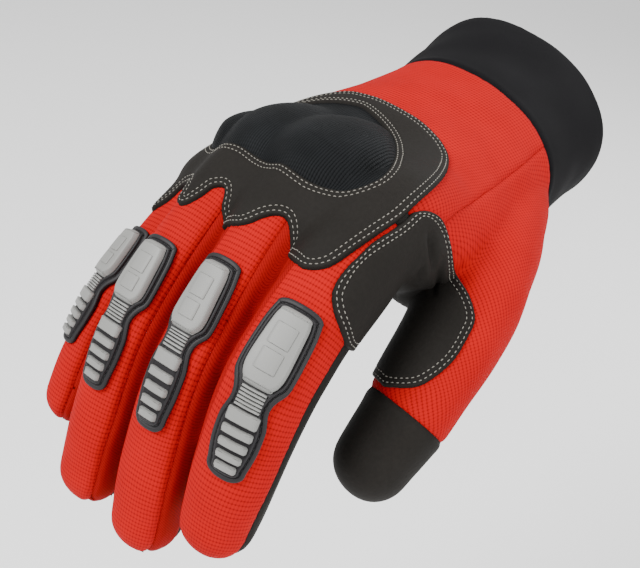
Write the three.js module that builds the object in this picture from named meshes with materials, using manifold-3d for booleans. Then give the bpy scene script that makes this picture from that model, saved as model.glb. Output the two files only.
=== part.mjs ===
// Impact glove for the right hand in its worn form, in millimetres.
// The origin is the centre of the cuff's open rim. +Y points out of the cuff along the
// forearm, the fingers run to -Y, the back of the hand faces +Z and the thumb is on +X.
import * as THREE from 'three';
import { mergeVertices } from 'three/addons/utils/BufferGeometryUtils.js';
import Module from 'manifold-3d';

const wasm = await Module();
wasm.setup();

// Driving dimensions
const WALL = 1.8;
const GAP = 0.3;
const PATCH_TOP = 1.4;
const CUFF_LENGTH = 42;
const SECTION_POWER = 2.2;
const RIM_OVERRUN = 5;
const REACH = 1;
const PALM_REACH = 40;
const THUMB_ZONE_END = -148;
const WEDGE_OVERRUN = 14;
const HALF_SPACE = 500;
// Points closer than this are one, and points this near a flat face are left out
const WELD = 0.002;
const FLATNESS = 0.1;
const WEDGE_STEPS = 6;
const PALM_TIP = 0.45;
const WEB_TIP = 0.6;
// Sections along each tube and sides round it, outside and inside
const OUTSIDE = { finger: [9, 10], thumb: [7, 10], web: [4, 10], palm: [8, 18] };
const INSIDE = { finger: [7, 8], thumb: [6, 8], web: [4, 8], palm: [6, 12] };
// Straight steps across a guard's base and head, and across a bar
const GUARD_STEPS = 3;
const BAR_STEPS = 2;
// Sides round each padded hump and up it
const HUMP_SIDES = [12, 6];

// Hand body: x, y, z, half-width, half-height, roll in degrees
const PALM = [
  [-1.5, 0, 4, 37.6, 28.4, 15],
  [0, -20, 1.5, 35.6, 27, 13],
  [2, -42, -0.6, 34.8, 26.2, 12],
  [1.6, -62, -1.3, 37.2, 23.8, 7],
  [-0.5, -85, -2, 42, 22, 0],
  [-2.5, -105, -2, 43.5, 19, -6],
  [-5.5, -122, -2, 42, 15, -9],
  [-6, -128, -6, 40.5, 10.5, -9],
];
const WEB = [
  [20, -60, -6, 12, 12, 0],
  [26, -88, -9, 14, 13, 0],
  [28, -103, -12, 12, 10.5, 0],
];
const THUMB = [
  [18, -34, -6, 12, 12, 0],
  [28, -56, -8, 15, 14, 0],
  [42.6, -93.1, -16.9, 14.2, 14, 0],
  [46.8, -122.5, -34.1, 12.4, 12.2, 0],
  [45.7, -137.6, -49, 10.6, 10.4, 0],
];
const FINGERS = {
  index: [
    [19, -76, -3, 9, 9, 7],
    [24, -100, 6, 12.5, 12, 7],
    [24.5, -122.1, 6.6, 12, 12.5, 7],
    [25.8, -158.1, -18.9, 11.8, 12, 7],
    [26, -169.8, -42.3, 11.1, 10.8, 7],
    [25.7, -174.6, -59.1, 9.7, 9.3, 7],
  ],
  middle: [
    [0, -76, -2, 9, 9, 3],
    [0.7, -100, 6, 12.5, 12, 3],
    [0.9, -121.9, 6.1, 11.3, 12.5, 3],
    [1.9, -158.7, -27, 11.2, 12, 3],
    [2.3, -171.1, -55.6, 10.9, 10.8, 3],
    [2.5, -175.8, -74, 9.8, 9.3, 3],
  ],
  ring: [
    [-17, -74, -4, 9, 9, -4],
    [-21.5, -98, 1, 12, 11.5, -4],
    [-21.3, -119.3, 1.2, 10.9, 12, -4],
    [-20.9, -155.2, -28.8, 10.7, 11.5, -4],
    [-20.8, -168.8, -55.5, 10.4, 10.3, -4],
    [-20.9, -174.5, -74.1, 9.2, 9, -4],
  ],
  little: [
    [-29, -72, -7, 8, 8, -17],
    [-36, -95, -8, 10.5, 10, -17],
    [-36.9, -113.2, -9.3, 9.2, 9.6, -17],
    [-38.2, -147, -32.4, 8.8, 8.9, -17],
    [-39.6, -159.6, -50.5, 8.8, 8.5, -17],
    [-40.2, -166, -63.9, 7.9, 7.7, -17],
  ],
};

// Seams round each tube in degrees from the middle of its back, at its root and at its tip:
// on the thumb side the upper and lower seam, then on the other side the same two.
const SEAMS = {
  index: [[74, 74, 46, 112], [88, 88, 56, 104]],
  middle: [[24, 115, 46, 112], [52, 104, 56, 104]],
  ring: [[40, 112, 46, 112], [54, 104, 56, 104]],
  little: [[42, 112, 84, 84], [54, 104, 84, 84]],
  palm: [[104, 104, 96, 96], [104, 104, 118, 118]],
  thumb: [[112, 112, 104, 104], [112, 112, 104, 60]],
};

// Seams across the roots of the fingers: y on the back and in the palm
const ROOT_SEAM = { back: -124, palm: -135 };
// First section of each finger that stands clear of the palm
const ROOT_SECTION = { index: 3, middle: 2, ring: 3, little: 3 };

// Impact guards: start along the finger, length, middle in degrees at start and end, width scale
const GUARDS = {
  index: [79, 40, 4, 9, 1],
  middle: [75, 42, -10, -4, 0.97],
  ring: [75.5, 39.5, -5, 0, 0.94],
  little: [69, 36, -10, -8, 0.88],
};
// Guard base: share of the length, half-width
const GUARD_BASE = [
  [0, 4.6],
  [0.03, 5.8],
  [0.12, 6.7],
  [0.36, 7.3],
  [0.43, 6.9],
  [0.48, 5.4],
  [0.54, 4.6],
  [0.62, 5.5],
  [0.76, 5.6],
  [0.88, 4.9],
  [0.96, 3.9],
  [1, 2.6],
];
const GUARD_HEAD = [
  [0.06, 3.7],
  [0.1, 4.2],
  [0.37, 4.8],
  [0.45, 3.5],
];
const GUARD_BARS = [
  [0.61, 3.4],
  [0.69, 3.3],
  [0.765, 3.1],
  [0.84, 2.8],
  [0.91, 2.3],
];
const BASE_TOP = 1.6;
const HEAD_TOP = 3.6;
const BAR_TOP = 2.8;
const BAR_HALF_LENGTH = 0.9;

// Lobed knuckle panel and its window, seen from above: x, y
const KNUCKLE_OUTLINE = [
  [-22, -78], [-10, -77.5], [3, -79.8], [14, -83.3], [20, -86.5], [25, -92.5], [29.5, -102],
  [32, -113], [32.7, -125], [31.6, -133.5], [30, -141], [28, -146.5], [25, -149.3],
  [21.5, -149.7], [17.5, -147.8], [14, -144.5], [11.5, -141.3], [9, -139.7], [6.5, -139.4],
  [4, -140.8], [1.5, -143.6], [-2.5, -146.2], [-6, -144.8], [-10, -141.4], [-13.5, -138.5],
  [-16.8, -136.2], [-19.5, -137.3], [-21.8, -140.8], [-24, -143.2], [-26.3, -141.8],
  [-29, -135.5], [-32.5, -132.2], [-37, -134.5], [-41, -138.5],
  [-44.5, -138], [-47, -128], [-47, -112], [-42, -95], [-33, -83],
];
const DOME_OUTLINE = [
  [-13.4, -85.9], [-5.9, -87.9], [4.3, -93.5], [11.6, -101.2], [18.6, -112.4], [21.3, -119.5],
  [21, -124], [18, -127.5], [13, -129.3], [2.7, -130], [-5.8, -128], [-18.3, -124.5],
  [-27, -123.3], [-36, -119], [-42, -110], [-38, -98], [-28, -88.5],
];
// Padded humps under the dome's cloth: x, y, z, then the three half-axes
const HUMPS = [
  [2, -110, 14, 20, 21, 10.7],
  [-18, -106, 12.2, 16, 20, 9.2],
  [-33, -105, 8, 11, 16, 8.5],
];

// Crotch patch: on the side of the index finger as y, z and on the thumb as x, y
const PATCH_ON_INDEX = [
  [-153.5, 0.6], [-151.7, 4.2], [-147.3, 7.7], [-141.1, 11.2], [-130.4, 15.4], [-123.3, 16.3],
  [-118, 15.4], [-113.8, 12.3], [-109, 6], [-105, -3], [-103, -14], [-112, -14],
  [-130, -6], [-143, -12], [-151.5, -10],
];
const PATCH_ON_THUMB = [
  [41, -104], [45, -106], [48.5, -110], [51.5, -115.2], [53, -121.6], [52, -127.4],
  [49.2, -131.5], [42.1, -133.5], [36, -130], [30.5, -118], [29, -106], [33, -102],
];
const PATCH_INDEX_X = [27, 42];
const PATCH_THUMB_Z = [-42, 0];
// Heights between which the panel and the dome lie, and a cut that goes right through
const PANEL_HEIGHTS = [-14, 60];
const DOME_HEIGHTS = [-6, 60];
const THROUGH = [-60, 60];

// Seam between the back and the thumb: two planes, each a point and a direction
const THUMB_SEAM = [[31.6, -45.3, 13.1], [0.965, 0.088, -0.246]];
const THUMB_FORK = [[40, -112, 1], [0, 0.518, -0.855]];
// Edge of the thumb's cap
const CAP_EDGE = [[46.4, -127, -38.2], [-0.12, -0.72, -0.68]];

const LOOKS = {
  red: { color: 0xd42a26, roughness: 0.85, metalness: 0 },
  darkRed: { color: 0xa31a1a, roughness: 0.85, metalness: 0 },
  leather: { color: 0x322e2b, roughness: 0.75, metalness: 0 },
  neoprene: { color: 0x1b1a1f, roughness: 0.85, metalness: 0 },
  mesh: { color: 0x23282e, roughness: 0.8, metalness: 0 },
  rubber: { color: 0x3b3a3d, roughness: 0.6, metalness: 0 },
  paleRubber: { color: 0xa4a4a0, roughness: 0.55, metalness: 0 },
};

// Smooth samples of a table's rows, evenly spaced along the line through x, y, z
function sampleRows(rows, positions) {
  const along = [0];
  for (let i = 1; i < rows.length; i += 1) {
    const step = Math.hypot(...[0, 1, 2].map((c) => rows[i][c] - rows[i - 1][c]));
    along.push(along[i - 1] + step);
  }
  const slope = (i, c) => {
    const a = Math.max(i - 1, 0);
    const b = Math.min(i + 1, rows.length - 1);
    return (rows[b][c] - rows[a][c]) / (along[b] - along[a]);
  };
  return positions(along.at(-1)).map((t) => {
    let i = 0;
    while (i < rows.length - 2 && t > along[i + 1]) i += 1;
    const h = along[i + 1] - along[i];
    const u = (t - along[i]) / h;
    return rows[0].map((_, c) => {
      const a = rows[i][c];
      const b = rows[i + 1][c];
      const bend = u * (1 - u) * h * ((1 - u) * slope(i, c) - u * slope(i + 1, c));
      const ease = u * u * (3 - 2 * u);
      const line = a + (b - a) * ease;
      return line + bend;
    });
  });
}

const evenly = (count) => (length) => Array.from(
  { length: count },
  (_, k) => (length * k) / (count - 1),
);

// Centre, direction, sideways and outward directions at every sample
function frames(samples) {
  const centres = samples.map((r) => new THREE.Vector3(r[0], r[1], r[2]));
  return samples.map((row, i) => {
    const ahead = centres[Math.min(i + 1, centres.length - 1)].clone();
    const forward = ahead.sub(centres[Math.max(i - 1, 0)]).normalize();
    const side = new THREE.Vector3(0, 0, 1).cross(forward).normalize();
    if (side.x < 0) side.negate();
    const out = forward.clone().cross(side);
    const roll = THREE.MathUtils.degToRad(row[5]);
    const turned = side.clone().multiplyScalar(Math.cos(roll)).addScaledVector(out, -Math.sin(roll));
    out.multiplyScalar(Math.cos(roll)).addScaledVector(side, Math.sin(roll));
    return { centre: centres[i], forward, side: turned, out, wide: row[3], high: row[4] };
  });
}

// Closed body through equal rings, with a fan of triangles at both ends
function closedBody(rings) {
  const count = rings[0].length;
  const middle = (ring) => ring.reduce((sum, p) => sum.add(p), new THREE.Vector3()).divideScalar(count);
  const points = [...rings.flat(), middle(rings[0]), middle(rings.at(-1))];
  const first = rings.length * count;
  const faces = [];
  for (let i = 0; i < count; i += 1) {
    const j = (i + 1) % count;
    for (let k = 0; k + 1 < rings.length; k += 1) {
      const a = k * count;
      const b = a + count;
      faces.push([a + i, a + j, b + j], [a + i, b + j, b + i]);
    }
    const last = first - count;
    faces.push([first, j, i], [first + 1, last + i, last + j]);
  }
  let volume = 0;
  for (const [a, b, c] of faces) {
    volume += points[a].dot(points[b].clone().cross(points[c]));
  }
  const geometry = new THREE.BufferGeometry();
  const numbers = points.flatMap((p) => p.toArray());
  geometry.setAttribute('position', new THREE.Float32BufferAttribute(numbers, 3));
  geometry.setIndex(faces.flatMap((f) => (volume < 0 ? [f[0], f[2], f[1]] : f)));
  return geometry;
}

const bent = (value) => Math.sign(value) * Math.abs(value) ** (2 / SECTION_POWER);

// Point of a section at an angle from the middle of the back, raised by a height
function sectionPoint(frame, angle, height) {
  return frame.centre.clone()
    .addScaledVector(frame.side, (frame.wide + height) * bent(Math.sin(angle)))
    .addScaledVector(frame.out, (frame.high + height) * bent(Math.cos(angle)));
}

function sectionRing(frame, round, grow, shrink = 1) {
  return Array.from({ length: round }, (_, i) => {
    const point = sectionPoint(frame, (i / round) * 2 * Math.PI, grow);
    return point.sub(frame.centre).multiplyScalar(shrink).add(frame.centre);
  });
}

// Round tube through a table's rows. `tip` is the length of its rounded end in section
// radii, or 0 for a flat end, and `open` carries the start past the rim.
function tube(rows, { along, round, grow = 0, tip = 1, open = 0 }) {
  const list = frames(sampleRows(rows, evenly(along)));
  const rings = list.map((frame) => sectionRing(frame, round, grow));
  const last = list.at(-1);
  const length = (Math.min(last.wide, last.high) + grow) * tip + (tip ? 0 : grow);
  const bows = tip ? [33, 64] : [90];
  for (const bow of bows) {
    const angle = THREE.MathUtils.degToRad(bow);
    const shrink = tip ? Math.cos(angle) : 1;
    const centre = last.centre.clone().addScaledVector(last.forward, length * Math.sin(angle));
    if (length !== 0) rings.push(sectionRing({ ...last, centre }, round, grow, shrink));
  }
  if (open) {
    const start = list[0].centre.clone().addScaledVector(list[0].forward, -open);
    rings.unshift(sectionRing({ ...list[0], centre: start }, round, grow));
  }
  return closedBody(rings);
}

// Wedge that follows a table's rows between two seams, each an angle at root and tip.
// `skip` leaves out the first sections, and `spread` moves every face outwards.
function wedge(rows, seams, { along, reach, spread = 0, skip = 0, beyond = 0 }) {
  const list = frames(sampleRows(rows, evenly(along))).slice(skip);
  const shifted = (frame, step) => {
    const centre = frame.centre.clone().addScaledVector(frame.forward, step);
    return { ...frame, centre };
  };
  list[0] = shifted(list[0], -spread);
  if (beyond) list.push(shifted(list.at(-1), beyond));
  list.push(shifted(list.pop(), spread));
  const rings = list.map((frame, k) => {
    const share = k / (list.length - 1);
    const [first, last] = seams
      .map(([root, tip]) => THREE.MathUtils.degToRad(root + (tip - root) * share));
    const turn = last - first;
    const back = spread / Math.sin(turn / 2);
    const toward = (angle, wide, high) => frame.centre.clone()
      .addScaledVector(frame.side, wide * Math.sin(angle))
      .addScaledVector(frame.out, high * Math.cos(angle));
    const middle = first + turn / 2;
    const arc = Array.from({ length: WEDGE_STEPS + 1 }, (_, i) => {
      const grow = reach + spread;
      return toward(first + (turn * i) / WEDGE_STEPS, frame.wide + grow, frame.high + grow)
        .sub(toward(middle, back, back)).add(frame.centre);
    });
    return [toward(middle, -back, -back), ...arc];
  });
  return solid(closedBody(rings));
}

function solid(geometry) {
  const clean = geometry.clone();
  clean.deleteAttribute('normal');
  clean.deleteAttribute('uv');
  const merged = mergeVertices(clean, 1e-4);
  return new wasm.Manifold(new wasm.Mesh({
    numProp: 3,
    vertProperties: new Float32Array(merged.attributes.position.array),
    triVerts: new Uint32Array(merged.index.array),
  }));
}

// Everything on the far side of a plane through a point
function halfSpace([point, direction], shift = 0) {
  const away = new THREE.Vector3(...direction).normalize();
  const box = new THREE.BoxGeometry(HALF_SPACE, HALF_SPACE, HALF_SPACE);
  box.applyQuaternion(new THREE.Quaternion().setFromUnitVectors(new THREE.Vector3(0, 0, 1), away));
  const middle = new THREE.Vector3(...point).addScaledVector(away, HALF_SPACE / 2 + shift);
  box.translate(middle.x, middle.y, middle.z);
  return solid(box);
}

// Upright prism over an outline, then turned by a rotation
function prism(outline, low, high, turn = null) {
  const shape = new THREE.Shape(outline.map(([a, b]) => new THREE.Vector2(a, b)));
  const geometry = new THREE.ExtrudeGeometry(shape, { depth: high - low, bevelEnabled: false });
  geometry.translate(0, 0, low);
  if (turn) geometry.applyMatrix4(turn);
  return solid(geometry);
}

// An outline moved outwards from its middle by a distance
function widened(outline, distance) {
  const middle = [0, 1].map((c) => outline.reduce((sum, p) => sum + p[c], 0) / outline.length);
  return outline.map((p) => {
    const away = [p[0] - middle[0], p[1] - middle[1]];
    const scale = 1 + distance / Math.hypot(...away);
    return [middle[0] + away[0] * scale, middle[1] + away[1] * scale];
  });
}

function joined(solids) {
  return solids.reduce((sum, next) => sum.add(next));
}

// Whole hand, grown or shrunk by a distance
function hand(grow, detail = OUTSIDE, open = 0) {
  const size = (part) => ({ along: detail[part][0], round: detail[part][1], grow });
  const bodies = Object.values(FINGERS).map((rows) => tube(rows, size('finger')));
  bodies.push(tube(THUMB, size('thumb')));
  bodies.push(tube(WEB, { ...size('web'), tip: WEB_TIP }));
  bodies.push(tube(PALM, { ...size('palm'), tip: PALM_TIP, open }));
  return joined(bodies.map(solid));
}

// Triangles of a solid with near points joined, without flat triangles or folded pairs
function cleanTriangles(piece) {
  const mesh = piece.getMesh();
  const geometry = new THREE.BufferGeometry();
  geometry.setAttribute('position', new THREE.Float32BufferAttribute(mesh.vertProperties, 3));
  geometry.setIndex(Array.from(mesh.triVerts));
  const merged = mergeVertices(geometry, WELD);
  const index = merged.index.array;
  const triangles = new Map();
  for (let t = 0; t < index.length; t += 3) {
    const face = [index[t], index[t + 1], index[t + 2]];
    if (new Set(face).size < 3) continue;
    const key = [...face].sort((a, b) => a - b).join();
    if (triangles.has(key)) triangles.delete(key);
    else triangles.set(key, face);
  }
  return { position: merged.attributes.position, faces: [...triangles.values()] };
}

// The largest connected body of a solid, as a geometry
function largestBody(piece) {
  const { position, faces } = cleanTriangles(piece.simplify(FLATNESS));
  const owner = Array.from({ length: position.count }, (_, i) => i);
  const find = (i) => {
    let top = i;
    while (owner[top] !== top) top = owner[top];
    owner[i] = top;
    return top;
  };
  for (const [a, b, c] of faces) {
    owner[find(b)] = find(a);
    owner[find(c)] = find(a);
  }
  const groups = Map.groupBy(faces, (face) => find(face[0]));
  const kept = [...groups.values()].sort((a, b) => b.length - a.length)[0].flat();
  const used = [...new Set(kept)];
  const renumber = new Map(used.map((v, i) => [v, i]));
  const points = used.flatMap((v) => [position.getX(v), position.getY(v), position.getZ(v)]);
  const result = new THREE.BufferGeometry();
  result.setAttribute('position', new THREE.Float32BufferAttribute(points, 3));
  result.setIndex(kept.map((v) => renumber.get(v)));
  return result;
}

const glove = new THREE.Group();

function addPiece(name, geometry, look) {
  const mesh = new THREE.Mesh(geometry, new THREE.MeshStandardMaterial(LOOKS[look]));
  mesh.name = name;
  glove.add(mesh);
}

// Shell of the hand, cut into its panels
const shell = hand(0).subtract(hand(-WALL, INSIDE, RIM_OVERRUN));
const cuffEnd = (shift) => halfSpace([[0, -CUFF_LENGTH, 0], [0, 1, 0]], shift);
addPiece('cuff', largestBody(shell.intersect(cuffEnd(GAP / 2))), 'neoprene');

const [THUMB_ALONG, THUMB_ROUND] = OUTSIDE.thumb;
const thumbTube = (grow) => solid(tube(THUMB, { along: THUMB_ALONG, round: THUMB_ROUND, grow }));
const withoutCuff = shell.subtract(cuffEnd(-GAP / 2));
const capZone = (shift) => halfSpace(CAP_EDGE, shift).intersect(thumbTube(REACH));
addPiece('thumb_tip', largestBody(withoutCuff.intersect(capZone(GAP / 2))), 'leather');
const body = withoutCuff.subtract(capZone(-GAP / 2));

const names = Object.keys(FINGERS);
const PALM_ZONE = [
  [-1.5, 6, 4, 37.6, 28.4, 15],
  ...PALM.slice(0, -1),
  [-5.6, ROOT_SEAM.palm, -4, 42, 14, -9],
];

// Back or palm side of a tube between its seams
function side(name, which, rows, options) {
  const [root, tip] = SEAMS[name];
  const ends = (i, turn) => [turn(root[i]), turn(tip[i])];
  const same = (angle) => angle;
  const seams = which === 'back'
    ? [ends(2, (angle) => -angle), ends(0, same)]
    : [ends(1, same), ends(3, (angle) => 360 - angle)];
  return wedge(rows, seams, options);
}

function fingerSide(name, which, spread) {
  return side(name, which, FINGERS[name], {
    along: OUTSIDE.finger[0],
    reach: REACH,
    beyond: WEDGE_OVERRUN,
    skip: ROOT_SECTION[name],
    spread,
  });
}

// One side of a finger beyond the seam across its root
function fingerZone(name, which, spread) {
  const beyond = halfSpace([[0, ROOT_SEAM[which], 0], [0, -1, 0]], GAP / 2 - spread);
  return fingerSide(name, which, spread).intersect(beyond);
}

// One side of the hand before the seams across the fingers' roots
function handZone(which, spread) {
  const before = halfSpace([[0, ROOT_SEAM[which], 0], [0, 1, 0]], GAP / 2 - spread);
  const palm = side('palm', which, PALM_ZONE, { along: 7, reach: PALM_REACH, spread });
  const all = joined([palm, ...names.map((name) => fingerSide(name, which, spread))]);
  const clear = which === 'palm' ? all.subtract(thumbTube(REACH + GAP - spread)) : all;
  return clear.intersect(before);
}

const zone = (which, spread) => joined([
  handZone(which, spread),
  ...names.map((name) => fingerZone(name, which, spread)),
]);
const thumbZone = (shift) => halfSpace(THUMB_SEAM, shift)
  .intersect(halfSpace(THUMB_FORK, shift))
  .intersect(halfSpace([[0, THUMB_ZONE_END, 0], [0, 1, 0]], shift));
const thumbPalm = (spread) => side('thumb', 'palm', THUMB, {
  along: THUMB_ALONG,
  reach: REACH,
  spread,
  skip: 1,
  beyond: WEDGE_OVERRUN,
});
const leatherZone = zone('palm', GAP).add(thumbPalm(GAP));
const thumbPart = body.intersect(thumbZone(GAP / 2));
addPiece('thumb_panel', largestBody(thumbPart.subtract(leatherZone)), 'red');
addPiece('thumb_front', largestBody(body.intersect(thumbPalm(0))), 'leather');
const withoutThumb = body.subtract(thumbPalm(GAP));
addPiece('palm_panel', largestBody(withoutThumb.intersect(handZone('palm', 0))), 'leather');
const upperPart = body.subtract(thumbZone(-GAP / 2)).subtract(leatherZone);
addPiece('back_panel', largestBody(upperPart.intersect(handZone('back', 0))), 'red');
// A finger's side, clear of the same side of the finger before it
function ownZone(i, which) {
  const own = fingerZone(names[i], which, 0);
  return i > 0 ? own.subtract(fingerZone(names[i - 1], which, GAP)) : own;
}
names.forEach((name, i) => {
  const front = withoutThumb.intersect(ownZone(i, 'palm'));
  addPiece(`finger_front_${name}`, largestBody(front), 'leather');
  const back = upperPart.intersect(ownZone(i, 'back'));
  addPiece(`finger_back_${name}`, largestBody(back), 'red');
});

// Strips between neighbouring fingers
const sides = upperPart.subtract(zone('back', GAP));
for (let i = 0; i + 1 < names.length; i += 1) {
  const [left, right] = [FINGERS[names[i + 1]][3][0], FINGERS[names[i]][3][0]];
  const between = halfSpace([[left, 0, 0], [1, 0, 0]])
    .intersect(halfSpace([[right, 0, 0], [-1, 0, 0]]));
  const strip = largestBody(sides.intersect(between));
  addPiece(`fourchette_${names[i]}_${names[i + 1]}`, strip, 'darkRed');
}

// Patches laid on the shell
const raised = hand(PATCH_TOP).subtract(hand(GAP));
const dome = joined(HUMPS.map(([x, y, z, a, b, c]) => {
  const hump = new THREE.SphereGeometry(1, ...HUMP_SIDES);
  hump.rotateX(Math.PI / 2);
  hump.scale(a, b, c);
  hump.translate(x, y, z);
  return solid(hump);
}));
const knucklePanel = raised
  .intersect(prism(KNUCKLE_OUTLINE, ...PANEL_HEIGHTS))
  .subtract(prism(widened(DOME_OUTLINE, GAP), ...THROUGH));
addPiece('knuckle_panel', largestBody(knucklePanel), 'leather');
const domeCloth = dome.add(hand(PATCH_TOP)).intersect(prism(DOME_OUTLINE, ...DOME_HEIGHTS));
addPiece('knuckle_dome', largestBody(domeCloth.subtract(hand(GAP))), 'mesh');

const sideways = new THREE.Matrix4().makeBasis(
  new THREE.Vector3(0, 1, 0),
  new THREE.Vector3(0, 0, 1),
  new THREE.Vector3(1, 0, 0),
);
const patchArea = prism(PATCH_ON_INDEX, ...PATCH_INDEX_X, sideways)
  .add(prism(PATCH_ON_THUMB, ...PATCH_THUMB_Z))
  .subtract(prism(widened(KNUCKLE_OUTLINE, 2 * GAP), ...THROUGH));
addPiece('crotch_patch', largestBody(raised.intersect(patchArea)), 'leather');

// Impact guards on the backs of the fingers
function onFinger(name, rows, low, high, steps) {
  const [start, length, first, last, scale] = GUARDS[name];
  const samples = sampleRows(FINGERS[name], () => rows.map(([share]) => start + share * length));
  const rings = frames(samples).map((frame, i) => {
    const [share, halfWidth] = rows[i];
    const middle = THREE.MathUtils.degToRad(first + (last - first) * share);
    const spread = (halfWidth * scale) / frame.high;
    const line = (height) => Array.from({ length: steps + 1 }, (_, j) => {
      const angle = middle + spread * ((2 * j) / steps - 1);
      return sectionPoint(frame, angle, height);
    });
    return [...line(low), ...line(high).reverse()];
  });
  return closedBody(rings);
}

for (const name of names) {
  const [, length] = GUARDS[name];
  const base = onFinger(name, GUARD_BASE, 2 * GAP, BASE_TOP, GUARD_STEPS);
  addPiece(`guard_${name}_base`, base, 'rubber');
  const head = onFinger(name, GUARD_HEAD, BASE_TOP + GAP, HEAD_TOP, GUARD_STEPS);
  addPiece(`guard_${name}_head`, head, 'paleRubber');
  GUARD_BARS.forEach(([share, halfWidth], i) => {
    const half = BAR_HALF_LENGTH / length;
    const rows = [[share - half, halfWidth], [share + half, halfWidth]];
    const bar = onFinger(name, rows, BASE_TOP + GAP, BAR_TOP, BAR_STEPS);
    addPiece(`guard_${name}_bar_${i + 1}`, bar, 'paleRubber');
  });
}

export default glove;
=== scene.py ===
"""Cloth, leather, guards, stitching and stage for an impact glove in its worn form."""

import bpy
import numpy as np
from mathutils import Matrix, Vector


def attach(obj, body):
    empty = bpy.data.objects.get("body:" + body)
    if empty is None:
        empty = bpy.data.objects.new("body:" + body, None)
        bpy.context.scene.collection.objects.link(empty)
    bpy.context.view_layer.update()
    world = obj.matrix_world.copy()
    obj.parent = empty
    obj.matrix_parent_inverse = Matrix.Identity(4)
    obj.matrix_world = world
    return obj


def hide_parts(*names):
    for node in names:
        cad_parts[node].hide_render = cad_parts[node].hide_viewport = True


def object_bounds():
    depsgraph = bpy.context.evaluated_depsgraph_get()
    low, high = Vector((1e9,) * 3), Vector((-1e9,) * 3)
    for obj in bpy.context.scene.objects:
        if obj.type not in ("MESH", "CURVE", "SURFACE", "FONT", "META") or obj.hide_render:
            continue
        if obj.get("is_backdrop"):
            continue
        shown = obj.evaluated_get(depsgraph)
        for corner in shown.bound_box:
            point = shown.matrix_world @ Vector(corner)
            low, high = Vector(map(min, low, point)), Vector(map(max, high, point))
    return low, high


bl_info = {
    "name": "Impact glove",
    "version": (1, 0, 0),
    "blender": (4, 5, 0),
    "location": "View3D > Sidebar > Glove",
    "description": "Builds the cloth, leather, rubber guards and stitching of an impact glove",
    "category": "Object",
}

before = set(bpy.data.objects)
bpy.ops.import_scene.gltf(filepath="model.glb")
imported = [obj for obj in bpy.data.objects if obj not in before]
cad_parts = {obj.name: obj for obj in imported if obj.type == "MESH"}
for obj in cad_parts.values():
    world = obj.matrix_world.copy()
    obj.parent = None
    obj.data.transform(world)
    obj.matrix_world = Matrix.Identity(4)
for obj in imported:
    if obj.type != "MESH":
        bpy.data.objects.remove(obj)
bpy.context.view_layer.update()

MM = 0.001
# Power of the tubes' squared-off section, and how far the palm's end bulges
SECTION_POWER = 2.2
PALM_TIP = 0.45
CUFF_LENGTH = 42.0
# Points nearer than this to a seam's line are moved onto it
NEAR_LINE = 0.05
FINGER_NAMES = ["index", "middle", "ring", "little"]

# Rows of the tables: x, y, z, half-width, half-height in mm, roll in degrees
PALM = [
    [-1.5, 0, 4, 37.6, 28.4, 15],
    [0, -20, 1.5, 35.6, 27, 13],
    [2, -42, -0.6, 34.8, 26.2, 12],
    [1.6, -62, -1.3, 37.2, 23.8, 7],
    [-0.5, -85, -2, 42, 22, 0],
    [-2.5, -105, -2, 43.5, 19, -6],
    [-5.5, -122, -2, 42, 15, -9],
    [-6, -128, -6, 40.5, 10.5, -9],
]
WEB = [
    [20, -60, -6, 12, 12, 0],
    [26, -88, -9, 14, 13, 0],
    [28, -103, -12, 12, 10.5, 0],
]
THUMB = [
    [18, -34, -6, 12, 12, 0],
    [28, -56, -8, 15, 14, 0],
    [42.6, -93.1, -16.9, 14.2, 14, 0],
    [46.8, -122.5, -34.1, 12.4, 12.2, 0],
    [45.7, -137.6, -49, 10.6, 10.4, 0],
]
FINGERS = {
    "index": [
        [19, -76, -3, 9, 9, 7],
        [24, -100, 6, 12.5, 12, 7],
        [24.5, -122.1, 6.6, 12, 12.5, 7],
        [25.8, -158.1, -18.9, 11.8, 12, 7],
        [26, -169.8, -42.3, 11.1, 10.8, 7],
        [25.7, -174.6, -59.1, 9.7, 9.3, 7],
    ],
    "middle": [
        [0, -76, -2, 9, 9, 3],
        [0.7, -100, 6, 12.5, 12, 3],
        [0.9, -121.9, 6.1, 11.3, 12.5, 3],
        [1.9, -158.7, -27, 11.2, 12, 3],
        [2.3, -171.1, -55.6, 10.9, 10.8, 3],
        [2.5, -175.8, -74, 9.8, 9.3, 3],
    ],
    "ring": [
        [-17, -74, -4, 9, 9, -4],
        [-21.5, -98, 1, 12, 11.5, -4],
        [-21.3, -119.3, 1.2, 10.9, 12, -4],
        [-20.9, -155.2, -28.8, 10.7, 11.5, -4],
        [-20.8, -168.8, -55.5, 10.4, 10.3, -4],
        [-20.9, -174.5, -74.1, 9.2, 9, -4],
    ],
    "little": [
        [-29, -72, -7, 8, 8, -17],
        [-36, -95, -8, 10.5, 10, -17],
        [-36.9, -113.2, -9.3, 9.2, 9.6, -17],
        [-38.2, -147, -32.4, 8.8, 8.9, -17],
        [-39.6, -159.6, -50.5, 8.8, 8.5, -17],
        [-40.2, -166, -63.9, 7.9, 7.7, -17],
    ],
}
# Seams round each tube in degrees from the middle of its back, at its root and at its tip:
# on the thumb side the upper and lower seam, then on the other side the same two
SEAMS = {
    "index": [[74, 74, 46, 112], [88, 88, 56, 104]],
    "middle": [[24, 115, 46, 112], [52, 104, 56, 104]],
    "ring": [[40, 112, 46, 112], [54, 104, 56, 104]],
    "little": [[42, 112, 84, 84], [54, 104, 84, 84]],
    "palm": [[104, 104, 96, 96], [104, 104, 118, 118]],
    "thumb": [[112, 112, 104, 104], [112, 112, 104, 60]],
}
# Where each finger's seams start, as a share of its length
SEAM_START = {"index": 0.375, "middle": 0.25, "ring": 0.375, "little": 0.375, "thumb": 0.167}
# How far the seams run past a table's last row, in mm
SEAM_PAST = 14
ROOT_SEAM = {"back": -124.0, "palm": -135.0}
THUMB_ZONE_END = -148.0
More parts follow.
